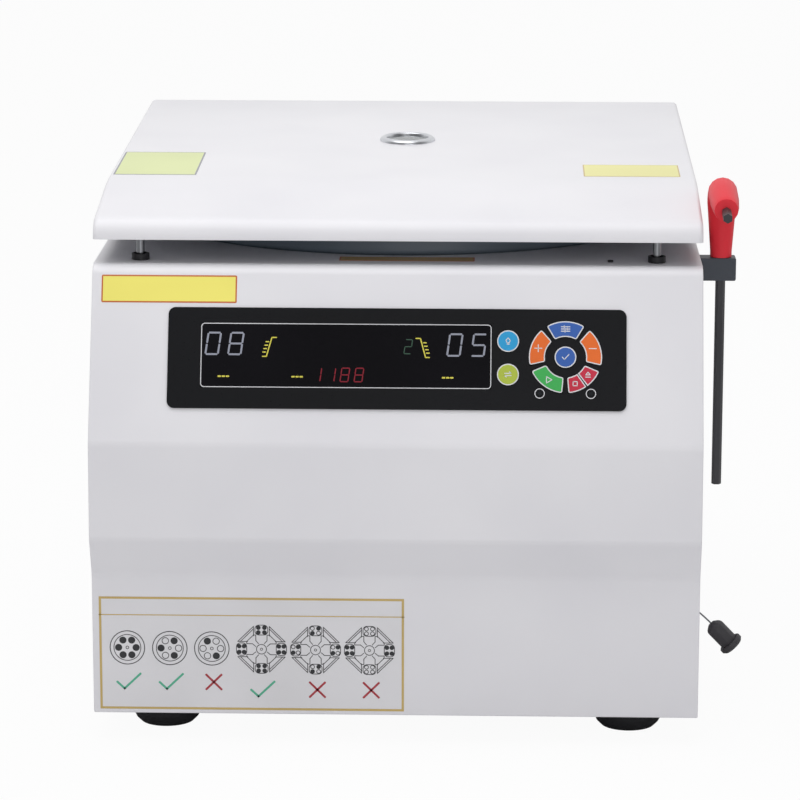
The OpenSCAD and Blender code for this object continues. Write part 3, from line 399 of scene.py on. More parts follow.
def film(name, tone, glow=0.0, rough=0.32):
    # screen-printed ink under a clear film: even colour with a faint, darker mottle
    dark = "#" + "".join(f"{int(int(tone[i:i + 2], 16) * inkSet['mottle']):02x}" for i in (1, 3, 5))
    finish = grained(name, tone, dark, inkSet["grain"], rough, inkSet["bump"], coat=inkSet["coat"])
    if glow:
        tree = finish.node_tree
        adjust(tree, tree.nodes["Principled BSDF"], Emission_Color=linear(tone), Emission_Strength=glow)
    return finish


inkWhite = film("white_ink", "#e4e4e8")
inkSky = film("sky_blue_ink", "#2ea6e0")
inkLime = film("lime_ink", "#b9c94a")
inkBlue = film("blue_ink", "#3b66b6")
inkOrange = film("orange_ink", "#f0722c")
inkGreen = film("green_ink", "#45b95c")
inkRed = film("red_ink", "#cf3049")
inkGold = film("gold_ink", "#cdb06a", rough=0.4)
inkGrey = film("grey_ink", "#8d8f96", rough=0.45)
inkDark = film("dark_ink", "#222328", rough=0.45)
inkTeal = film("teal_ink", "#55b795", rough=0.4)
inkCrimson = film("crimson_ink", "#b0303c", rough=0.4)
labelWhite = film("white_vinyl", "#e9e8ec", rough=0.38)
labelYellow = film("yellow_vinyl", "#fff47a", rough=0.36)
labelOrange = film("orange_vinyl", "#d1713b", rough=0.36)
# deck label: yellow vinyl whose colour is painted darker, amber, as painted shade for the lid's shadow over
# the deck
labelShadedYellow = film("yellow_vinyl_painted_shade", "#c9a24e", rough=0.36)
labelLime = film("yellow_green_vinyl", "#dbe59a", rough=0.36)
labelPale = film("pale_yellow_vinyl", "#f1ec8c", rough=0.36)
digitGrey = film("grey_segment", "#8c8f9c", glow=0.25)
digitRed = film("red_segment", "#7c1626", glow=0.35)
digitDim = film("dim_segment", "#3c5a4a", glow=0.05)
iconYellow = film("yellow_icon", "#d8cf52", glow=0.15)


def clearGlass():
    # float glass, faintly grey, so the ring and the lid show through it
    finish, tree, shader, place = newFinish("sight_glass")
    haze = addNode(tree, "ShaderNodeTexNoise", [("Vector", place, "Object")],
                   Scale=1 / (glassSet["haze"] * mm))
    low, high = glassSet["gloss"]
    gloss = addNode(tree, "ShaderNodeMapRange", [("Value", haze, "Fac")], To_Min=low, To_Max=high)
    adjust(tree, shader, [("Roughness", gloss, "Result")], Base_Color=linear(glassSet["tint"]),
           Transmission_Weight=glassSet["clear"], IOR=glassSet["ior"])
    return finish


sightGlass = clearGlass()
print("finishes made")


# camera at the photograph's viewing angle
view = {
    "place": (0.07443, -2.660, 0.78367),
    "lens": 163.6,
    "sensor": 36.0,
    "yaw": 1.6875,
    "pitch": 12.5575,
    "roll": 0.058,
    "clip": 50.0,
}


def makeCamera():
    yaw, pitch, roll = (radians(view[key]) for key in ("yaw", "pitch", "roll"))
    ahead = Vector((-sin(yaw) * cos(pitch), cos(yaw) * cos(pitch), -sin(pitch)))
    right = Vector((cos(yaw), sin(yaw), 0))
    up = right.cross(ahead)
    across = right * cos(roll) + up * sin(roll)
    top = up * cos(roll) - right * sin(roll)
    deselectAll()
    bpy.ops.object.camera_add(location=view["place"])
    camera = bpy.context.object
    camera.matrix_world = Matrix((
        (across.x, top.x, -ahead.x, view["place"][0]),
        (across.y, top.y, -ahead.y, view["place"][1]),
        (across.z, top.z, -ahead.z, view["place"][2]),
        (0, 0, 0, 1)))
    camera.data.lens = view["lens"]
    camera.data.sensor_width = view["sensor"]
    camera.data.clip_end = view["clip"]
    bpy.context.scene.camera = camera


makeCamera()

# stiff release wire from its socket to the plug, along the route of the solid
releaseWire = {
    "route": [(189, -110, 66), (192, -110, 66), (195, -110, 66), (198, -110, 66), (201, -110, 65.9),
              (204, -110, 65.5), (206.8, -110, 64.8), (209.5, -110, 63.8), (212, -110, 62.5),
              (214.4, -110, 61), (216.7, -110, 59.2), (218.9, -110, 57.3), (220.8, -110, 55.6),
              (222.5, -110, 54), (224.1, -110, 52.5), (225.6, -110, 51)],
    "diameter": 1.2,
}


def makeWire():
    route = releaseWire["route"]
    points = [Vector(p) * mm for p in route]
    cable = tube("release_cable", route, [1.0] * len(route), releaseWire["diameter"] / 2, 4)
    dress(cable, wireGrey)
    length = sum((b - a).length for a, b in zip(points, points[1:]))
    put(cable, "release", ["release_wire"])
    return cable, tuple(points[0]), length


cable, cableExit, cableLength = makeWire()
print("camera and release wire placed, wire length", round(cableLength, 4))

# floor and light: each softbox has a place, an aim, a size and a power
studio = {
    "floor": 14.0,
    "floorDrop": 0.0004,
    "paper": "#dadadb",
    "paperRough": 0.9,
    "floorGlow": 0.95,
    "worldLevel": 0.54,
    "glossFront": 0.10,
    "glossBack": 0.9,
    "glossBlend": 0.3,
    "topBox": ((-0.3, -0.5, 2.4), (0, 0, 0.3), (2.2, 1.8), 28.0),
    "frontBox": ((0.6, -3.2, 0.75), (0, 0, 0.2), (2.0, 1.2), 11.0),
}


def seenDirectly(tree):
    # 1 for what the camera sees straight or through glass, 0 for light that bounces
    path = addNode(tree, "ShaderNodeLightPath")
    links = [(0, path, "Is Camera Ray"), (1, path, "Is Transmission Ray")]
    return path, addNode(tree, "ShaderNodeMath", links, operation="MAXIMUM")


def makeFloor():
    deselectAll()
    bpy.ops.mesh.primitive_plane_add(size=studio["floor"], location=(0, 0, -studio["floorDrop"]))
    floor = settle(started("studio_floor"))
    finish, tree, shader = newFinish("studio_paper")[:3]
    adjust(tree, shader, Base_Color=linear(studio["paper"]), Roughness=studio["paperRough"])
    seen = seenDirectly(tree)[1]
    share = addNode(tree, "ShaderNodeMath", [(0, seen, 0)], operation="MULTIPLY")
    share.inputs[1].default_value = studio["floorGlow"]
    white = addNode(tree, "ShaderNodeEmission", Strength=1.0)
    mix = addNode(tree, "ShaderNodeMixShader", [(0, share, 0), (1, shader, "BSDF"), (2, white, "Emission")])
    adjust(tree, tree.nodes["Material Output"], [("Surface", mix, 0)])
    dress(floor, finish)


def makeWorld():
    world = bpy.data.worlds.new("studio_light")
    bpy.context.scene.world = world
    world.use_nodes = True
    tree = world.node_tree
    path, seen = seenDirectly(tree)
    # mirrored light: a dark room on the camera's side and white paper behind the machine
    place = addNode(tree, "ShaderNodeTexCoord")
    axes = addNode(tree, "ShaderNodeSeparateXYZ", [(0, place, "Generated")])
    room = addNode(tree, "ShaderNodeMapRange", [("Value", axes, "Y")], From_Min=-studio["glossBlend"],
                   From_Max=studio["glossBlend"], To_Min=studio["glossFront"], To_Max=studio["glossBack"])
    level = addNode(tree, "ShaderNodeMapRange",
                    [("Value", path, "Is Glossy Ray"), ("To Max", room, "Result")],
                    To_Min=studio["worldLevel"])
    strength = addNode(tree, "ShaderNodeMath", [(0, level, "Result"), (1, seen, 0)], operation="MAXIMUM")
    adjust(tree, tree.nodes["Background"], [("Strength", strength, 0)], Color=linear("#ffffff"))


def softbox(name, place, aim, size, power):
    lamp = bpy.data.lights.new(name, "AREA")
    lamp.shape = "RECTANGLE"
    lamp.size, lamp.size_y = size
    lamp.energy = power
    obj = bpy.data.objects.new(name, lamp)
    bpy.context.collection.objects.link(obj)
    obj.location = place
    obj.rotation_euler = (Vector(aim) - Vector(place)).to_track_quat("-Z", "Y").to_euler()


makeFloor()
makeWorld()
softbox("top_softbox", *studio["topBox"])
softbox("front_softbox", *studio["frontBox"])
bpy.context.scene.view_settings.view_transform = "Standard"
print("studio set")

# folded front of the cabinet
cabinet = {
    "halfWidth": 210.0,
    "sheet": 2.0,
    "bottom": 20.0,
    "deck": 330.0,
    "back": 250.0,
    "lowerFace": -241.4,
    "bandFoot": 119.7,
    "noseFace": -253.5,
    "noseHeight": 147.7,
    "foldFace": -250.0,
    "foldHeight": 214.3,
    "lean": 22.15,
    "topRadius": 10.0,
    "bendRadius": 2.6,
    "sideEdge": 1.4,
    "opening": (0.5, 60.3, 302.0, 58.3),
}
lean = radians(cabinet["lean"])
panelFrame = at(0, cabinet["foldFace"], cabinet["foldHeight"]) @ Matrix.Rotation(pi / 2 - lean, 4, "X")


def frontOutline():
    c = cabinet
    turn = pi / 2 - lean
    cornerY = c["foldFace"] + (c["deck"] - c["foldHeight"]) * tan(lean)
    deckY = cornerY + c["topRadius"] * tan(turn / 2)
    top = arc(deckY, c["deck"] - c["topRadius"], c["topRadius"], pi - lean, pi / 2, 8)
    outline = [(c["lowerFace"], c["bottom"]), (c["lowerFace"], c["bandFoot"]),
               (c["noseFace"], c["noseHeight"]), (c["foldFace"], c["foldHeight"])]
    return outline + top


def makeFront():
    c = cabinet
    front = foldedSheet("front_shell", frontOutline(), 2 * c["halfWidth"])
    # the three long bends are rounded
    edit(front)
    heights = [c["bandFoot"], c["noseHeight"], c["foldHeight"]]
    pick(front, "edges", lambda e: any(all(abs(v.co.z - h * mm) < tiny for v in e.verts) for h in heights))
    bevelEdges(c["bendRadius"], 6)
    selectAll()
    bpy.ops.mesh.normals_make_consistent(inside=False)
    mesh = bmesh.from_edit_mesh(front.data)
    if sum(f.normal.y for f in mesh.faces) > 0:
        bpy.ops.mesh.flip_normals()
    editDone()
    applied(front, "SOLIDIFY", thickness=c["sheet"] * mm, offset=-1, use_even_offset=True)
    bevelSharp(front, c["sideEdge"], 3, 60)
    # opening behind the control overlay
    x, s, w, h = c["opening"]
    cutWith(front, settle(box("panel_opening", (x, s, 0), (w, h, through)), panelFrame))
    smooth(front)
    dress(front, powderCoat)
    put(front, "cabinet", ["front_fascia"])


makeFront()
print("front folded")

# lid: written as if it were shut, then turned open about its hinge
lid = {
    "front": -200.4,
    "back": 234.2,
    "rim": 331.0,
    "noseHeight": 13.0,
    "noseRadius": 14.5,
    "slope": 10.85,
    "slopeRun": 93.0,
    "topSlope": 3.84,
    "backRadius": 6.0,
    "edge": 3.2,
    "wall": 2.0,
    "hinge": (241.0, 337.5),
    "ajar": 2.1,
    "sightY": 52.91,
    "sightHole": 17.8,
    "topBend": 12.0,
    "hingeX": 150.0,
    "notch": (24.4, 12.0, 10.5),
    "notchHeight": 334.0,
}
hingeY, hingeZ = lid["hinge"]
lidFrame = (at(0, hingeY, hingeZ) @ Matrix.Rotation(-radians(lid["ajar"]), 4, "X")
            @ at(0, -hingeY, -hingeZ))


def lidTop(y):
    bend = lid["noseHeight"] + lid["slopeRun"] * tan(radians(lid["slope"]))
    return lid["rim"] + bend + (y - lid["front"] - lid["slopeRun"]) * tan(radians(lid["topSlope"]))


def lidOutline():
    points = [(lid["front"], lid["rim"])]
    slope = radians(lid["slope"])
    turn = pi / 2 - slope
    r = lid["noseRadius"]
    low = lid["rim"] + lid["noseHeight"] - r * tan(turn / 2)
    points += arc(lid["front"] + r, low, r, pi, pi - turn, 8)
    bendY = lid["front"] + lid["slopeRun"]
    points.append((bendY, lidTop(bendY)))
    r = lid["backRadius"]
    y = lid["back"] - r
    points += arc(y, lidTop(y) - r, r, pi / 2, 0, 6)
    points.append((lid["back"], lid["rim"]))
    return points


def makeLid():
    width = 2 * cabinet["halfWidth"]
    shell = foldedSheet("lid_cover", lidOutline(), width)
    # the two sides are closed from rim to rim
    edit(shell)
    edgeX = width * mm / 2 - tiny
    for side in (-1, 1):
        pick(shell, "edges", lambda e: e.is_boundary and all(v.co.x * side > edgeX for v in e.verts))
        bpy.ops.mesh.edge_face_add()
    selectAll()
    bpy.ops.mesh.normals_make_consistent(inside=False)
    # soft bend across the top, and rounded edges along both sides
    bendY = (lid["front"] + lid["slopeRun"]) * mm
    nose = (lid["rim"] + lid["noseHeight"]) * mm
    pick(shell, "edges", lambda e: all(abs(v.co.y - bendY) < tiny and v.co.z > nose for v in e.verts)
         and abs(e.verts[0].co.x - e.verts[1].co.x) > width * mm / 4)
    bevelEdges(lid["topBend"], 6)
    pick(shell, "edges", lambda e: len(e.link_faces) == 2 and e.calc_face_angle(0) > radians(60))
    bevelEdges(lid["edge"], 5)
    editDone()
    applied(shell, "SOLIDIFY", thickness=lid["wall"] * mm, offset=-1, use_even_offset=True)
    # hole for the sight window and notches for the hinge knuckles
    seat = at(0, lid["sightY"], lidTop(lid["sightY"])) @ Matrix.Rotation(radians(lid["topSlope"]), 4, "X")
    cutWith(shell, settle(disc("sight_cut", lid["sightHole"], through, (0, 0, -through / 2), 96), seat))
    for side in (-1, 1):
        place = (side * lid["hingeX"], lid["back"], lid["notchHeight"])
        cutWith(shell, box("hinge_cut", place, lid["notch"]))
    settle(shell, lidFrame)
    smooth(shell)
    dress(shell, powderCoat)
    put(shell, "lid", ["lid_shell"])


makeLid()
print("lid closed over")

# control panel, drawn on the fascia: x to the right, y up the slope, z outwards
panel = {
    "face": 1.2,
    "lift": 0.02,
    "print": 0.06,
    "corner": 1.3,
    "step": 6.0,
    "keyTop": 1.8,
    "keyFoot": -3.0,
    "border": 0.75,
    "dish": (0.25, 0.12),
    "signLine": 0.62,
    "window": (-34.3, 62.15, 199.0, 44.7),
    "windowLine": 0.55,
    "windowCorner": 2.6,
    "roundKeys": (76.6, 61.5, 23.2, 7.5),
    "enter": 7.4,
    "ring": (115.8, 62.2, 14.1, 25.0),
    "sweep": 62.0,
    "angles": {"minus": 18.0, "set": 90.0, "plus": 162.0, "start": 234.0, "stop": 306.0},
    "split": 1.0,
    "lamps": (17.5, 37.0, 3.5),
    "lampLine": 0.55,
}


def capFinish(cap, ink):
    # the printed top has a white border, and the key's sides keep the film's black
    dress(cap, overlayBlack, inkWhite, ink)
    edit(cap)
    pick(cap, "faces", lambda f: f.normal.z > 0.9)
    cap.active_material_index = 1
    bpy.ops.object.material_slot_assign()
    bpy.ops.mesh.inset(thickness=panel["border"] * mm, depth=0, use_boundary=True)
    cap.active_material_index = 2
    bpy.ops.object.material_slot_assign()
    rim, rise = panel["dish"]
    bpy.ops.mesh.inset(thickness=rim * mm, depth=rise * mm, use_boundary=True)
    editDone()
    return cap


def roundCap(name, x, s, r, ink):
    foot, top = panel["keyFoot"], panel["keyTop"]
    return capFinish(disc(name, r, top - foot, (x, s, foot), 64), ink)


def sectorCap(name, low, high, ink, ends):
    # a radial section is spun through the key's sweep, with rounded corners at the given ends
    x, s, inner, outer = panel["ring"]
    foot, top = panel["keyFoot"] * mm, panel["keyTop"] * mm
    deselectAll()
    bpy.ops.mesh.primitive_plane_add(size=1, location=((inner + outer) / 2 * mm, 0, (foot + top) / 2),
                                     rotation=(pi / 2, 0, 0))
    cap = started(name)
    cap.scale = ((outer - inner) * mm, top - foot, 1)
    settle(cap)
    edit(cap)
    selectAll()
    bpy.ops.mesh.spin(steps=round((high - low) / panel["step"]), angle=radians(high - low),
                      center=(0, 0, 0), axis=(0, 0, 1))
    editDone()
    outward(cap)
    middle = sum((v.co for v in cap.data.vertices), Vector()) / len(cap.data.vertices)
    turn = radians((low + high) / 2) - atan2(middle.y, middle.x)
    settle(cap, Matrix.Rotation(turn, 4, "Z"))

    def corner(e):
        a, b = (v.co for v in e.verts)
        angle = degrees(atan2(a.y, a.x)) % 360
        upright = abs(a.z - b.z) > (top - foot) / 2
        return upright and any(abs(angle - end % 360) < 0.5 for end in ends)

    edit(cap)
    pick(cap, "edges", corner)
    bevelEdges(panel["corner"], 4)
    editDone()
    return capFinish(settle(cap, at(x, s)), ink)


def icon(name, lines, x, s, z, line, finish, size=1.0):
    # printed strokes, each from one point to another, in millimetres about the icon's middle
    parts = []
    for i, ends in enumerate(lines):
        x0, y0, x1, y1 = (v * size for v in ends)
        parts.append(dress(stroke(f"{name}_{i}", (x0, y0), (x1, y1), line, panel["print"]), finish))
    return settle(joined(name, parts), at(x, s, z))


# generic signs on the keys
signs = {
    "plus": [(-2.4, 0, 2.4, 0), (0, -2.4, 0, 2.4)],
    "minus": [(-2.4, 0, 2.4, 0)],
    "lamp": [(-1.6, 0.6, -0.9, -1.4), (-0.9, -1.4, 0.9, -1.4), (0.9, -1.4, 1.6, 0.6), (-1.6, 0.6, 0, 2.4),
             (0, 2.4, 1.6, 0.6), (-0.8, -2.4, 0.8, -2.4)],
    "swap": [(-2.4, 0.9, 2.4, 0.9), (2.4, 0.9, 1.2, 2.0), (-2.4, -0.9, 2.4, -0.9), (-2.4, -0.9, -1.2, -2.0)],
    "sliders": [(-3.2, 1.7, 3.2, 1.7), (-3.2, 0, 3.2, 0), (-3.2, -1.7, 3.2, -1.7), (-1, 1, -1, 2.4),
                (1.4, -0.7, 1.4, 0.7), (-0.4, -2.4, -0.4, -1)],
    "start": [(-1.4, -2.2, -1.4, 2.2), (-1.4, 2.2, 2.4, 0), (2.4, 0, -1.4, -2.2)],
    "stop": [(-1.5, -1.5, 1.5, -1.5), (1.5, -1.5, 1.5, 1.5), (1.5, 1.5, -1.5, 1.5), (-1.5, 1.5, -1.5, -1.5)],
    "open": [(-1.7, -0.2, 0, 1.8), (0, 1.8, 1.7, -0.2), (1.7, -0.2, -1.7, -0.2), (-1.7, -1.8, 1.7, -1.8)],
    "enter": [(-2.4, 0, -0.8, -1.8), (-0.8, -1.8, 2.6, 2.0)],
}


def makeKeys():
    keyX, keyS, pitch, keyR = panel["roundKeys"]
    ringX, ringS, inner, outer = panel["ring"]
    half, split = panel["sweep"] / 2, panel["split"]
    sector = {name: (a - half, a + half) for name, a in panel["angles"].items()}
    stop = panel["angles"]["stop"]
    rows = [
        ("key_light", inkSky, "key_sky", None, (keyX, keyS + pitch / 2, keyR), "lamp", 0.9),
        ("key_mode", inkLime, "key_lime", None, (keyX, keyS - pitch / 2, keyR), "swap", 0.9),
        ("key_enter", inkBlue, "key_blue", None, (ringX, ringS, panel["enter"]), "enter", 0.9),
        ("key_set", inkBlue, "key_blue", sector["set"], None, "sliders", 0.9),
        ("key_plus", inkOrange, "key_orange", sector["plus"], None, "plus", 1.0),
        ("key_minus", inkOrange, "key_orange", sector["minus"], None, "minus", 1.0),
        ("key_start", inkGreen, "key_green", sector["start"], None, "start", 1.0),
        ("key_stop", inkRed, "key_red", (stop - half, stop - split), None, "stop", 0.95),
        ("key_open", inkRed, "key_red", (stop + split, stop + half), None, "open", 0.95),
    ]
    middle = (inner + outer) / 2
    level = panel["keyTop"] + panel["dish"][1]
    for node, ink, slot, sweep, spot, sign, size in rows:
        if sweep:
            # the two red keys share one sector, so they are square where they meet
            ends = {"key_stop": sweep[:1], "key_open": sweep[1:]}.get(node, sweep)
            cap = sectorCap(node + "_cap", *sweep, ink, ends)
            angle = radians(sum(sweep) / 2)
            x, s = ringX + middle * cos(angle), ringS + middle * sin(angle)
        else:
            cap = roundCap(node + "_cap", *spot, ink)
            x, s = spot[:2]
        mark = icon(node + "_sign", signs[sign], x, s, level, panel["signLine"], inkWhite, size)
        for piece in (cap, mark):
            settle(piece, panelFrame)
        put(cap, node, [node])
        put(mark, node)


makeKeys()
print("keys capped")

# figures and signs on the display; a set is its value, place, digit size, pitch, line and tone
figures = {
    "sets": [("08", -117.6, 70.2, 8.6, 15.0, 15.6, 1.25, "grey"),
             ("05", 48.4, 70.2, 8.6, 15.0, 16.4, 1.25, "grey"),
             ("2", 8.3, 68.8, 4.6, 9.8, 6.0, 0.7, "dim"),
             ("1188", -39.6, 48.9, 5.4, 9.4, 9.6, 0.8, "red")],
    "slant": 0.13,
    "trim": 0.75,
    "ramp": [(-4.8, -6.6, -2.2, -6.6), (-2.2, -6.6, 1.4, 6.6), (1.4, 6.6, 4.4, 6.6),
             (-4.6, -3.6, -2.9, -3.6), (-3.9, -1.2, -2.2, -1.2), (-3.2, 1.2, -1.5, 1.2),
             (-2.5, 3.6, -0.8, 3.6)],
    "ramps": [(-86.6, 1), (18.0, -1)],
    "rampRow": (68.0, 0.8),
    "dots": [(-3.4, 0, -2.2, 0), (-0.6, 0, 0.6, 0), (2.2, 0, 3.4, 0)],
    "dotPlaces": [-118, -67.5, 35.5],
    "dotRow": (47.4, 1.1),
}
segmentsOn = {"0": "abcdef", "1": "bc", "2": "abged", "5": "afgcd", "8": "abcdefg"}


def sevenSegment(name, value, x, s, w, h, pitch, line, finish):
    half, up = w / 2, h / 2
    ends = {"a": (-half, up, half, up), "b": (half, up, half, 0), "c": (half, 0, half, -up),
            "d": (-half, -up, half, -up), "e": (-half, 0, -half, -up), "f": (-half, up, -half, 0),
            "g": (-half, 0, half, 0)}
    lines = []
    for i, char in enumerate(value):
        shift = (i - (len(value) - 1) / 2) * pitch
        for key in segmentsOn[char]:
            x0, y0, x1, y1 = ends[key]
            trim = line * figures["trim"]
            dx, dy = (trim if x0 != x1 else 0), (trim if y0 != y1 else 0)
            y0, y1 = y0 - dy, y1 + dy
            lean0, lean1 = y0 * figures["slant"] + shift, y1 * figures["slant"] + shift
            lines.append((x0 + dx + lean0, y0, x1 - dx + lean1, y1))
    return icon(name, lines, x, s, panel["face"] + panel["lift"], line, finish)


def onDisplay(sign):
    put(settle(sign, panelFrame), "cabinet")


def makeDisplay():
    tones = {"grey": digitGrey, "red": digitRed, "dim": digitDim}
    for i, (*row, tone) in enumerate(figures["sets"]):
        onDisplay(sevenSegment(f"display_figures_{i}", *row, tones[tone]))
    level = panel["face"] + panel["lift"]
    # ramp signs: one climbs, one falls
    s, line = figures["rampRow"]
    for i, (x, way) in enumerate(figures["ramps"]):
        ramp = [(x0 * way, y0, x1 * way, y1) for x0, y0, x1, y1 in figures["ramp"]]
        onDisplay(icon(f"ramp_sign_{i}", ramp, x, s, level, line, iconYellow))
    # small marks under the figures
    s, line = figures["dotRow"]
    for i, x in enumerate(figures["dotPlaces"]):
        onDisplay(icon(f"field_mark_{i}", figures["dots"], x, s, level, line, iconYellow))
    # white lines round the window and the lamps, just below the figures
    level = panel["face"] + panel["lift"] / 2
    x, s, w, h = panel["window"]
    border = frameLine("window_line", w, h, panel["windowLine"], panel["print"], panel["windowCorner"])
    put(settle(dress(border, inkWhite), panelFrame @ at(x, s, level)), "cabinet")
    lampX, lampS, r = panel["lamps"]
    for i, side in enumerate((-1, 1)):
        rim = hoop(f"lamp_rim_{i}", r, panel["lampLine"], panel["print"])
        place = panelFrame @ at(panel["ring"][0] + side * lampX, lampS, level)
        put(settle(dress(rim, inkWhite), place), "cabinet")


makeDisplay()
print("display drawn")

# stickers: place, width, height and border of each
labels = {
    "thick": 0.12,
    "lift": 0.02,
    "corner": 1.0,
    "fascia": (-156.6, 108.3, 93.3, 19.3, 1.0),
    "lidLeft": (-177.2, -47.5, 59.5, 89.0, 1.2),
    "lidRight": (164.3, -67.0, 69.0, 45.0, 0.9),
    "deck": (6.0, -174.0, 94.0, 15.0, 1.0),
}


def sticker(name, w, h, edge, outer, inner):
    # a bordered vinyl label: the middle is a second colour, level with the border
    obj = plate(name, w, h, labels["thick"], labels["corner"], 4)
    dress(obj, outer, inner)
    edit(obj)
    pick(obj, "faces", lambda f: f.normal.z > 0.9)
    bpy.ops.mesh.inset(thickness=edge * mm, use_boundary=True)
    obj.active_material_index = 1
    bpy.ops.object.material_slot_assign()
    editDone()
    return obj


def onLidTop(x, y):
    bendY = lid["front"] + lid["slopeRun"]
    slope = lid["topSlope"] if y > bendY else lid["slope"]
    z = lidTop(y) if y > bendY else lidTop(bendY) + (y - bendY) * tan(radians(lid["slope"]))
    return lidFrame @ at(x, y, z + labels["lift"]) @ Matrix.Rotation(radians(slope), 4, "X")


def onFascia(x, s):
    return panelFrame @ at(x, s, labels["lift"])


def onDeck(x, y):
    return at(x, y, cabinet["deck"] + labels["lift"])


def makeStickers():
    rows = [("fascia_label", "fascia", onFascia, labelOrange, labelYellow, "cabinet"),
            ("lid_label_left", "lidLeft", onLidTop, inkGrey, labelLime, "lid"),
            ("lid_label_right", "lidRight", onLidTop, inkGold, labelPale, "lid"),
            # the deck label's middle is yellow with painted shade, darker than the fascia label's yellow
            ("deck_label", "deck", onDeck, labelOrange, labelShadedYellow, "cabinet")]
    for name, key, seat, outer, inner, body in rows:
        x, y, w, h, edge = labels[key]
        put(settle(sticker(name, w, h, edge, outer, inner), seat(x, y)), body)


makeStickers()

# tube-loading chart: rotors seen from above, each with a tick or a cross under it
chart = {
    "sheet": (-99.6, 63.5, 211.4, 81.0),
    "corner": 0.8,
    "lift": 0.01,
    "border": 1.6,
    "rule": (27.5, 0.7),
    "line": 0.5,
    "roundRings": [(12.3, 0.6), (9.6, 0.5), (1.2, 0.45)],
    "roundWells": (6.1, 2.5),
    "crossRings": [(3.7, 0.5), (1.0, 0.4)],
    "crossLines": [(4.0, -2.0, 6.2, -3.9), (6.2, -3.9, 10.2, -3.9), (4.0, 2.0, 6.2, 3.9),
                   (6.2, 3.9, 10.2, 3.9), (9.6, 5.5, 16.4, 5.5), (9.6, -5.5, 16.4, -5.5),
                   (16.4, 5.5, 5.5, 16.4), (14.6, 5.5, 5.5, 14.6), (10.2, 3.9, 10.2, 5.5),
                   (10.2, -3.9, 10.2, -5.5), (10.2, 5.5, 5.5, 10.2)],
    "tray": (13.8, 7.6, 9.4, 3.0),
    "trayWells": [(-1.7, -2.1), (1.7, -2.1), (-1.7, 2.1), (1.7, 2.1)],
    "trayWell": 1.6,
    "tick": [(-8.5, -0.5, -3.5, -5.2), (-3.5, -5.2, 7.6, 5.5)],
    "cross": [(-5.2, -5.2, 5.2, 5.2), (-5.2, 5.2, 5.2, -5.2)],
    "markLine": 1.5,
    "markShift": 1.2,
    "roundMarks": -20.5,
    "crossMarks": -25.4,
    "roundRotors": [(-86.3, 3.9, "111111", True), (-56.8, 3.7, "010101", True),
                    (-27.6, 3.7, "001001", False)],
    "crossRotors": [(6.9, 3.5, ["1111"] * 4, True), (44.4, 3.3, ["1001", "0110"] * 2, False),
                    (81.8, 3.3, ["1111", "0000"] * 2, False)],
}


def ring(r, line, x, y):
    return dress(hoop("ring", r, line, panel["print"], (x, y, 0), 40), inkDark)


def well(r, x, y, loaded):
    # a loaded well is a dot and an empty one a ring
    if loaded == "0":
        return ring(r, chart["line"], x, y)
    return dress(disc("dot", r, panel["print"], (x, y, 0), 20), inkDark)


def roundRotor(x, y, load):
    # rim, hub and a circle of wells
    reach, r = chart["roundWells"]
    parts = [ring(*size, x, y) for size in chart["roundRings"]]
    for i, loaded in enumerate(load):
        a = 2 * pi * i / len(load)
        parts.append(well(r, x + reach * cos(a), y + reach * sin(a), loaded))
    return joined("round_rotor", parts)


def crossRotor(x, y, loads):
    # four carriers on a yoke, braced by diagonal struts
    reach, w, h, corner = chart["tray"]
    line = chart["line"]
    parts = [ring(*size, x, y) for size in chart["crossRings"]]
    for i, load in enumerate(loads):
        quarter = [icon("line", chart["crossLines"], 0, 0, 0, line, inkDark)]
        tray = frameLine("tray", w, h, line, panel["print"], corner)
        quarter.append(dress(settle(tray, at(reach, 0)), inkDark))
        for (ox, oy), loaded in zip(chart["trayWells"], load):
            quarter.append(well(chart["trayWell"], reach + ox, oy, loaded))
        place = at(x, y) @ Matrix.Rotation(pi / 2 * i, 4, "Z")
        parts.append(settle(joined("carrier", quarter), place))
    return joined("cross_rotor", parts)


def makeChart():
    x, z, w, h = chart["sheet"]
    face = at(x, cabinet["lowerFace"], z) @ Matrix.Rotation(pi / 2, 4, "X")
    lift = at(0, 0, labels["thick"] + chart["lift"])
    sheet = plate("chart_label", w, h, labels["thick"], chart["corner"], 3)
    put(settle(dress(sheet, labelWhite), face), "cabinet")
    height, line = chart["rule"]
    border = frameLine("outer", w, h, chart["border"], panel["print"])
    parts = [dress(border, inkGold), icon("rule", [(-w / 2, 0, w / 2, 0)], 0, height, 0, line, inkGold)]
    shift, markLine = chart["markShift"], chart["markLine"]
    for rotors, make, markY in (("roundRotors", roundRotor, chart["roundMarks"]),
                                ("crossRotors", crossRotor, chart["crossMarks"])):
        for px, py, load, good in chart[rotors]:
            parts.append(make(px, py, load))
            kind, finish = ("tick", inkTeal) if good else ("cross", inkCrimson)
            parts.append(icon("mark", chart[kind], px + shift, markY, 0, markLine, finish))
    put(settle(joined("loading_chart", parts), face @ lift), "cabinet")


makeChart()
print("labels stuck on")

# hex key with its grip, standing in the holder block
hexKey = {
    "place": (225.5, -140.0),
    "gripFoot": 327.3,
    "collar": 4.0,
    "stem": 7.6,
    "neck": (6.0, 0.95),
    "elbow": 9.0,
    "elbowSteps": 6,
    "elbowSag": 0.4,
    "arm": 374.6,
    "armRadius": 10.2,
    "armRun": 18.0,
    "armTip": (-195.0, 369.0),
    "taper": [(6.0, 1.2), (0.0, 2.0)],
    "gripEdge": 1.6,
    "holder": (210.0, 236.0, 14.0, 311.0, 327.0),
    "holderEdge": 1.2,
    "bore": 4.1,
    "boreLap": 6.0,
}


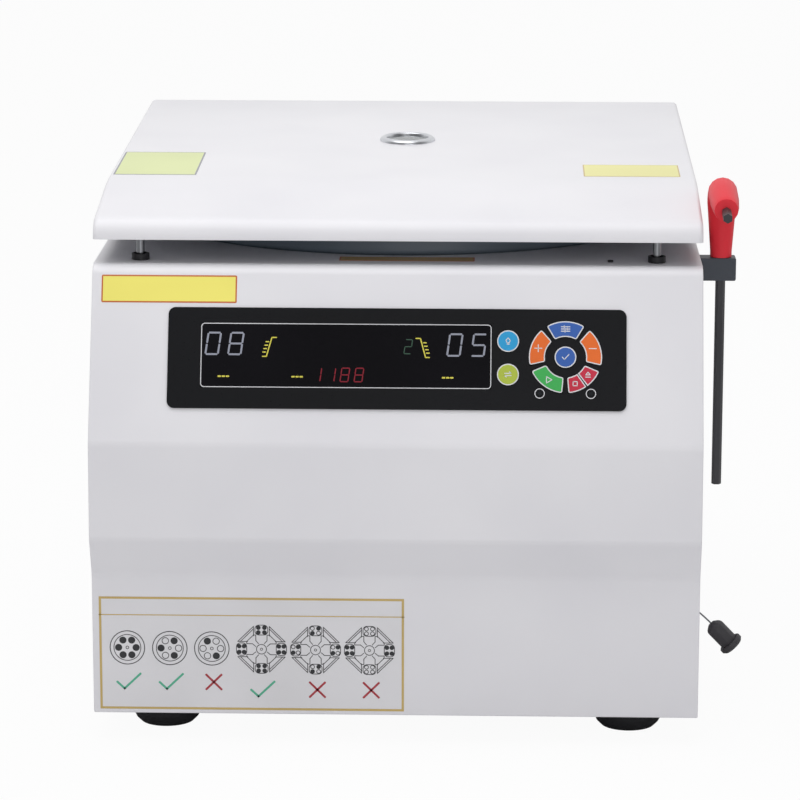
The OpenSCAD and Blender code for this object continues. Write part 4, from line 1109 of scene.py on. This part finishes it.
def makeGrip():
    x, y = hexKey["place"]
    tipY, tipZ = hexKey["armTip"]
    top = hexKey["arm"]
    e = hexKey["elbow"]
    slope = (tipZ - top) / (tipY - y)
    foot, stem, arm = hexKey["gripFoot"], hexKey["stem"], hexKey["armRadius"]
    drop, share = hexKey["neck"]
    path = [(y, foot, stem), (y, foot + hexKey["collar"], stem), (y, top - e - drop, arm * share)]
    for i in range(hexKey["elbowSteps"] + 1):
        # elbow from the upright stem into the leaning arm
        a = pi / 2 * i / hexKey["elbowSteps"]
        back = e * (1 - cos(a))
        path.append((y - back, top - e + e * sin(a) - back * slope * hexKey["elbowSag"], arm))
    run = e + hexKey["armRun"]
    path.append((y - run, top - run * slope, arm))
    for back, less in hexKey["taper"]:
        path.append((tipY + back, tipZ + back * slope, arm - less))
    points = [(x, py, pz) for py, pz, r in path]
    only(tube("key_grip", points, [r for py, pz, r in path], 1.0, 6))
    bpy.ops.object.convert(target="MESH")
    grip = outward(started("key_grip"))
    bevelSharp(grip, hexKey["gripEdge"], 4, 50)
    smooth(grip, 50)
    dress(grip, gripRed)
    put(grip, "hex_key", ["wrench_handle"])


def makeHolder():
    x0, x1, w, z0, z1 = hexKey["holder"]
    x, y = hexKey["place"]
    block = box("key_holder", ((x0 + x1) / 2, y, (z0 + z1) / 2), (x1 - x0, w, z1 - z0))
    edit(block)
    pick(block, "edges", lambda e: all(v.co.x > x0 * mm + tiny for v in e.verts))
    bevelEdges(hexKey["holderEdge"], 3)
    editDone()
    lap = hexKey["boreLap"]
    cutWith(block, disc("holder_bore", hexKey["bore"], z1 - z0 + 2 * lap, (x, y, z0 - lap), 32))
    smooth(block)
    put(dress(block, holderSlate), "cabinet", ["wrench_holder"])


makeGrip()
makeHolder()
print("hex key gripped")

# sight window in the lid
sight = {
    "ring": (15.6, 20.7),
    "hole": 17.6,
    "skirt": -5.0,
    "seat": 0.05,
    "outerEdge": [(0, 0.9), (0.4, 1.6), (1.4, 2.5), (2.6, 3.0)],
    "innerEdge": [(1.4, 3.0), (0.5, 2.5), (0, 1.7)],
    "glass": 15.4,
    "glassFoot": -2.0,
    "glassEdge": 0.6,
    "glassRise": 0.9,
}


def makeSight():
    inner, outer = sight["ring"]
    hole, low, rest = sight["hole"], sight["skirt"], sight["seat"]
    seat = onLidTop(0, lid["sightY"])
    profile = [(inner, low), (hole, low), (hole, rest), (outer, rest)]
    profile += [(outer - d, z) for d, z in sight["outerEdge"]]
    profile += [(inner + d, z) for d, z in sight["innerEdge"]] + [(inner, low)]
    rim = turned("sight_ring", profile, 96)
    smooth(rim, 40)
    put(settle(dress(rim, chromeRing), seat), "lid", ["window_ring"])
    r, foot, edge, rise = sight["glass"], sight["glassFoot"], sight["glassEdge"], sight["glassRise"]
    dome = [(r * cos(radians(a)), edge + rise * sin(radians(a))) for a in range(10, 90, 10)]
    outline = [(0, foot), (r, foot), (r, edge)] + dome + [(0, edge + rise)]
    pane = turned("sight_pane", outline, 96)
    smooth(pane, 40)
    put(settle(dress(pane, sightGlass), seat), "lid", ["window_glass"])


makeSight()

# plug on the release wire
plug = {
    "seat": (225.6, -110.0, 51.0),
    "lean": 46.0,
    "body": 6.9,
    "length": 24.0,
    "flange": (9.0, 4.7),
    "flangeFoot": 0.7,
    "flangeEdge": 1.6,
    "nose": [(4.0, 0.2), (0.9, 2.6), (0.2, 3.8), (0, 5.0)],
    "lap": 0.3,
    "sides": 8,
    "sideEdge": 0.5,
}


def makePlug():
    # eight-sided body with a chamfered nose, on a round flange
    r, length = plug["body"], plug["length"]
    flange, t = plug["flange"]
    foot = length - t
    lap, low, high = plug["lap"], plug["flangeFoot"], plug["flangeEdge"]
    nose = [(0, plug["nose"][0][1])] + [(r - d, z) for d, z in plug["nose"]]
    nose += [(r, foot + lap), (0, foot + lap)]
    rim = [(0, foot), (flange - low, foot), (flange, foot + low), (flange, length - high),
           (flange - high, length), (0, length)]
    body = turned("release_nose", nose, plug["sides"])
    bevelSharp(body, plug["sideEdge"], 2, 25)
    base = turned("release_rim", rim, 48)
    body = joined("release_knob", [smooth(body, 30), smooth(base, 40)])
    dress(body, plugBlack)
    settle(body, at(*plug["seat"]) @ Matrix.Rotation(radians(90 + plug["lean"]), 4, "Y"))
    put(body, "release", ["release_plug"])
    return body


knob = makePlug()
print("plug on its wire")

# fluted knob that clamps the rotor's lid
rotorKnob = {
    "axis": 36.912,
    "foot": 263.2,
    "radius": 17.0,
    "height": 24.0,
    "flutes": 16,
    "flute": 2.2,
    "fluteReach": 1.2,
    "fluteFoot": 2.5,
    "stud": 4.0,
    "studFoot": -12.0,
    "skirt": [(2.0, 0.1), (0.4, 1.4), (0, 3.0)],
    "crown": [(0, 3.4), (0.8, 1.4), (2.6, 0.2), (5.5, 0)],
    "dimple": [(6.5, 0), (5.5, 0.8), (0, 1.0)],
}


def makeRotorKnob():
    k = rotorKnob
    r, h, stud, low = k["radius"], k["height"], k["stud"], k["studFoot"]
    profile = [(0, low), (stud, low), (stud, k["skirt"][0][1])] + [(r - d, z) for d, z in k["skirt"]]
    profile += [(r - d, h - z) for d, z in k["crown"]] + [(d, h - z) for d, z in k["dimple"]]
    head = turned("rotor_knob_cap", profile, 96)
    cutters = []
    reach, foot = r + k["fluteReach"], k["fluteFoot"]
    for i in range(k["flutes"]):
        a = 2 * pi * i / k["flutes"]
        cutters.append(disc("flute", k["flute"], 2 * h, (reach * cos(a), reach * sin(a), foot), 20))
    cutWith(head, joined("flutes", cutters))
    smooth(head, 32)
    settle(dress(head, blackPlastic), at(0, k["axis"], k["foot"]))
    put(head, "knob", ["rotor_knob"])


makeRotorKnob()

# screws on the back: modelled once and copied
screws = {
    "head": [(0, -0.3), (3.4, -0.3), (3.4, 0.5), (2.9, 1.1), (1.7, 1.5), (0, 1.6)],
    "slot": (3.6, 0.8, 1.6),
    "slotHeight": 1.5,
    "places": [(x, z) for x in (-200, 0, 200) for z in (32, 316)] + [(-200, 170), (200, 170)],
}


def makeScrews():
    head = turned("screw_master", screws["head"], 32)
    for turn in (0, pi / 2):
        cutWith(head, box("driver_slot", (0, 0, screws["slotHeight"]), screws["slot"], turn))
    smooth(head, 30)
    dress(head, brightSteel)
    parts = []
    for i, (x, z) in enumerate(screws["places"]):
        place = at(x, cabinet["back"], z) @ Matrix.Rotation(-pi / 2, 4, "X")
        parts.append(settle(copied(head, f"back_screw_{i}"), place))
    bpy.data.objects.remove(head, do_unlink=True)
    put(joined("case_screws", parts), "cabinet")


makeScrews()

# I and O on the mains rocker
rocker = {
    "pivot": (120.0, 247.0, 96.0),
    "tilt": 8.0,
    "half": 9.4,
    "face": 4.2,
    "marks": 5.2,
    "bar": (1.6, 0.8),
    "ring": (2.0, 0.7),
    "print": 0.05,
    "lift": 0.02,
}


def makeRockerMarks():
    slope = radians(rocker["tilt"])
    t, up = rocker["print"], rocker["marks"]
    half, line = rocker["bar"]
    onMark = stroke("on_mark", (0, -half), (0, half), line, t)
    r, line = rocker["ring"]
    offMark = hoop("off_mark", r, line, t, (0, 0, 0), 32)
    depth = rocker["face"] - (rocker["half"] - up) * tan(slope) + rocker["lift"]
    back = at(*rocker["pivot"]) @ Matrix.Rotation(slope, 4, "X")
    parts = []
    for mark, side in ((onMark, 1), (offMark, -1)):
        seat = back @ at(0, depth, side * up) @ Matrix.Rotation(-pi / 2 - side * slope, 4, "X")
        parts.append(settle(dress(mark, inkWhite), seat))
    put(joined("rocker_marks", parts), "rocker")


makeRockerMarks()
print("screws and switch marks added")

# finishes for the solids that stay as they are
nodeFinish = {
    powderCoat: ["left_panel", "right_panel", "rear_panel", "top_deck"],
    panGrey: ["base_pan", "lid_plate"],
    bowlSteel: ["chamber_bowl"],
    guardSteel: ["guard_ring", "motor_plate"],
    brightSteel: ["drive_shaft", "hinge_pins", "hinge_brackets", "lid_leaves", "latch_bar", "latch_guides",
                  "foot_screws", "shaft_bearings"],
    pinSteel: ["lid_pins"],
    castAlloy: ["motor_housing", "rotor_lid"],
    rotorBlack: ["rotor_body"],
    windings: ["motor_stator", "motor_core", "lock_solenoid"],
    blackPlastic: ["pin_bushes", "lid_sensor", "fan_frame", "fan_rotor", "power_inlet", "switch_rocker",
                   "release_socket", "release_sheath"],
    blackRubber: ["chamber_gasket", "motor_dampers", "feet"],
    linerSlate: ["lid_liner"],
    overlayBlack: ["control_overlay"],
    displaySmoke: ["display_window"],
    lampClear: ["indicator_lights"],
    boardGreen: ["control_board", "power_board"],
    hexBlack: ["wrench_shaft"],
}
for finish, nodes in nodeFinish.items():
    for node in nodes:
        for slot in bpy.data.objects[node].material_slots:
            slot.material = finish
print("solids finished")

deselectAll()
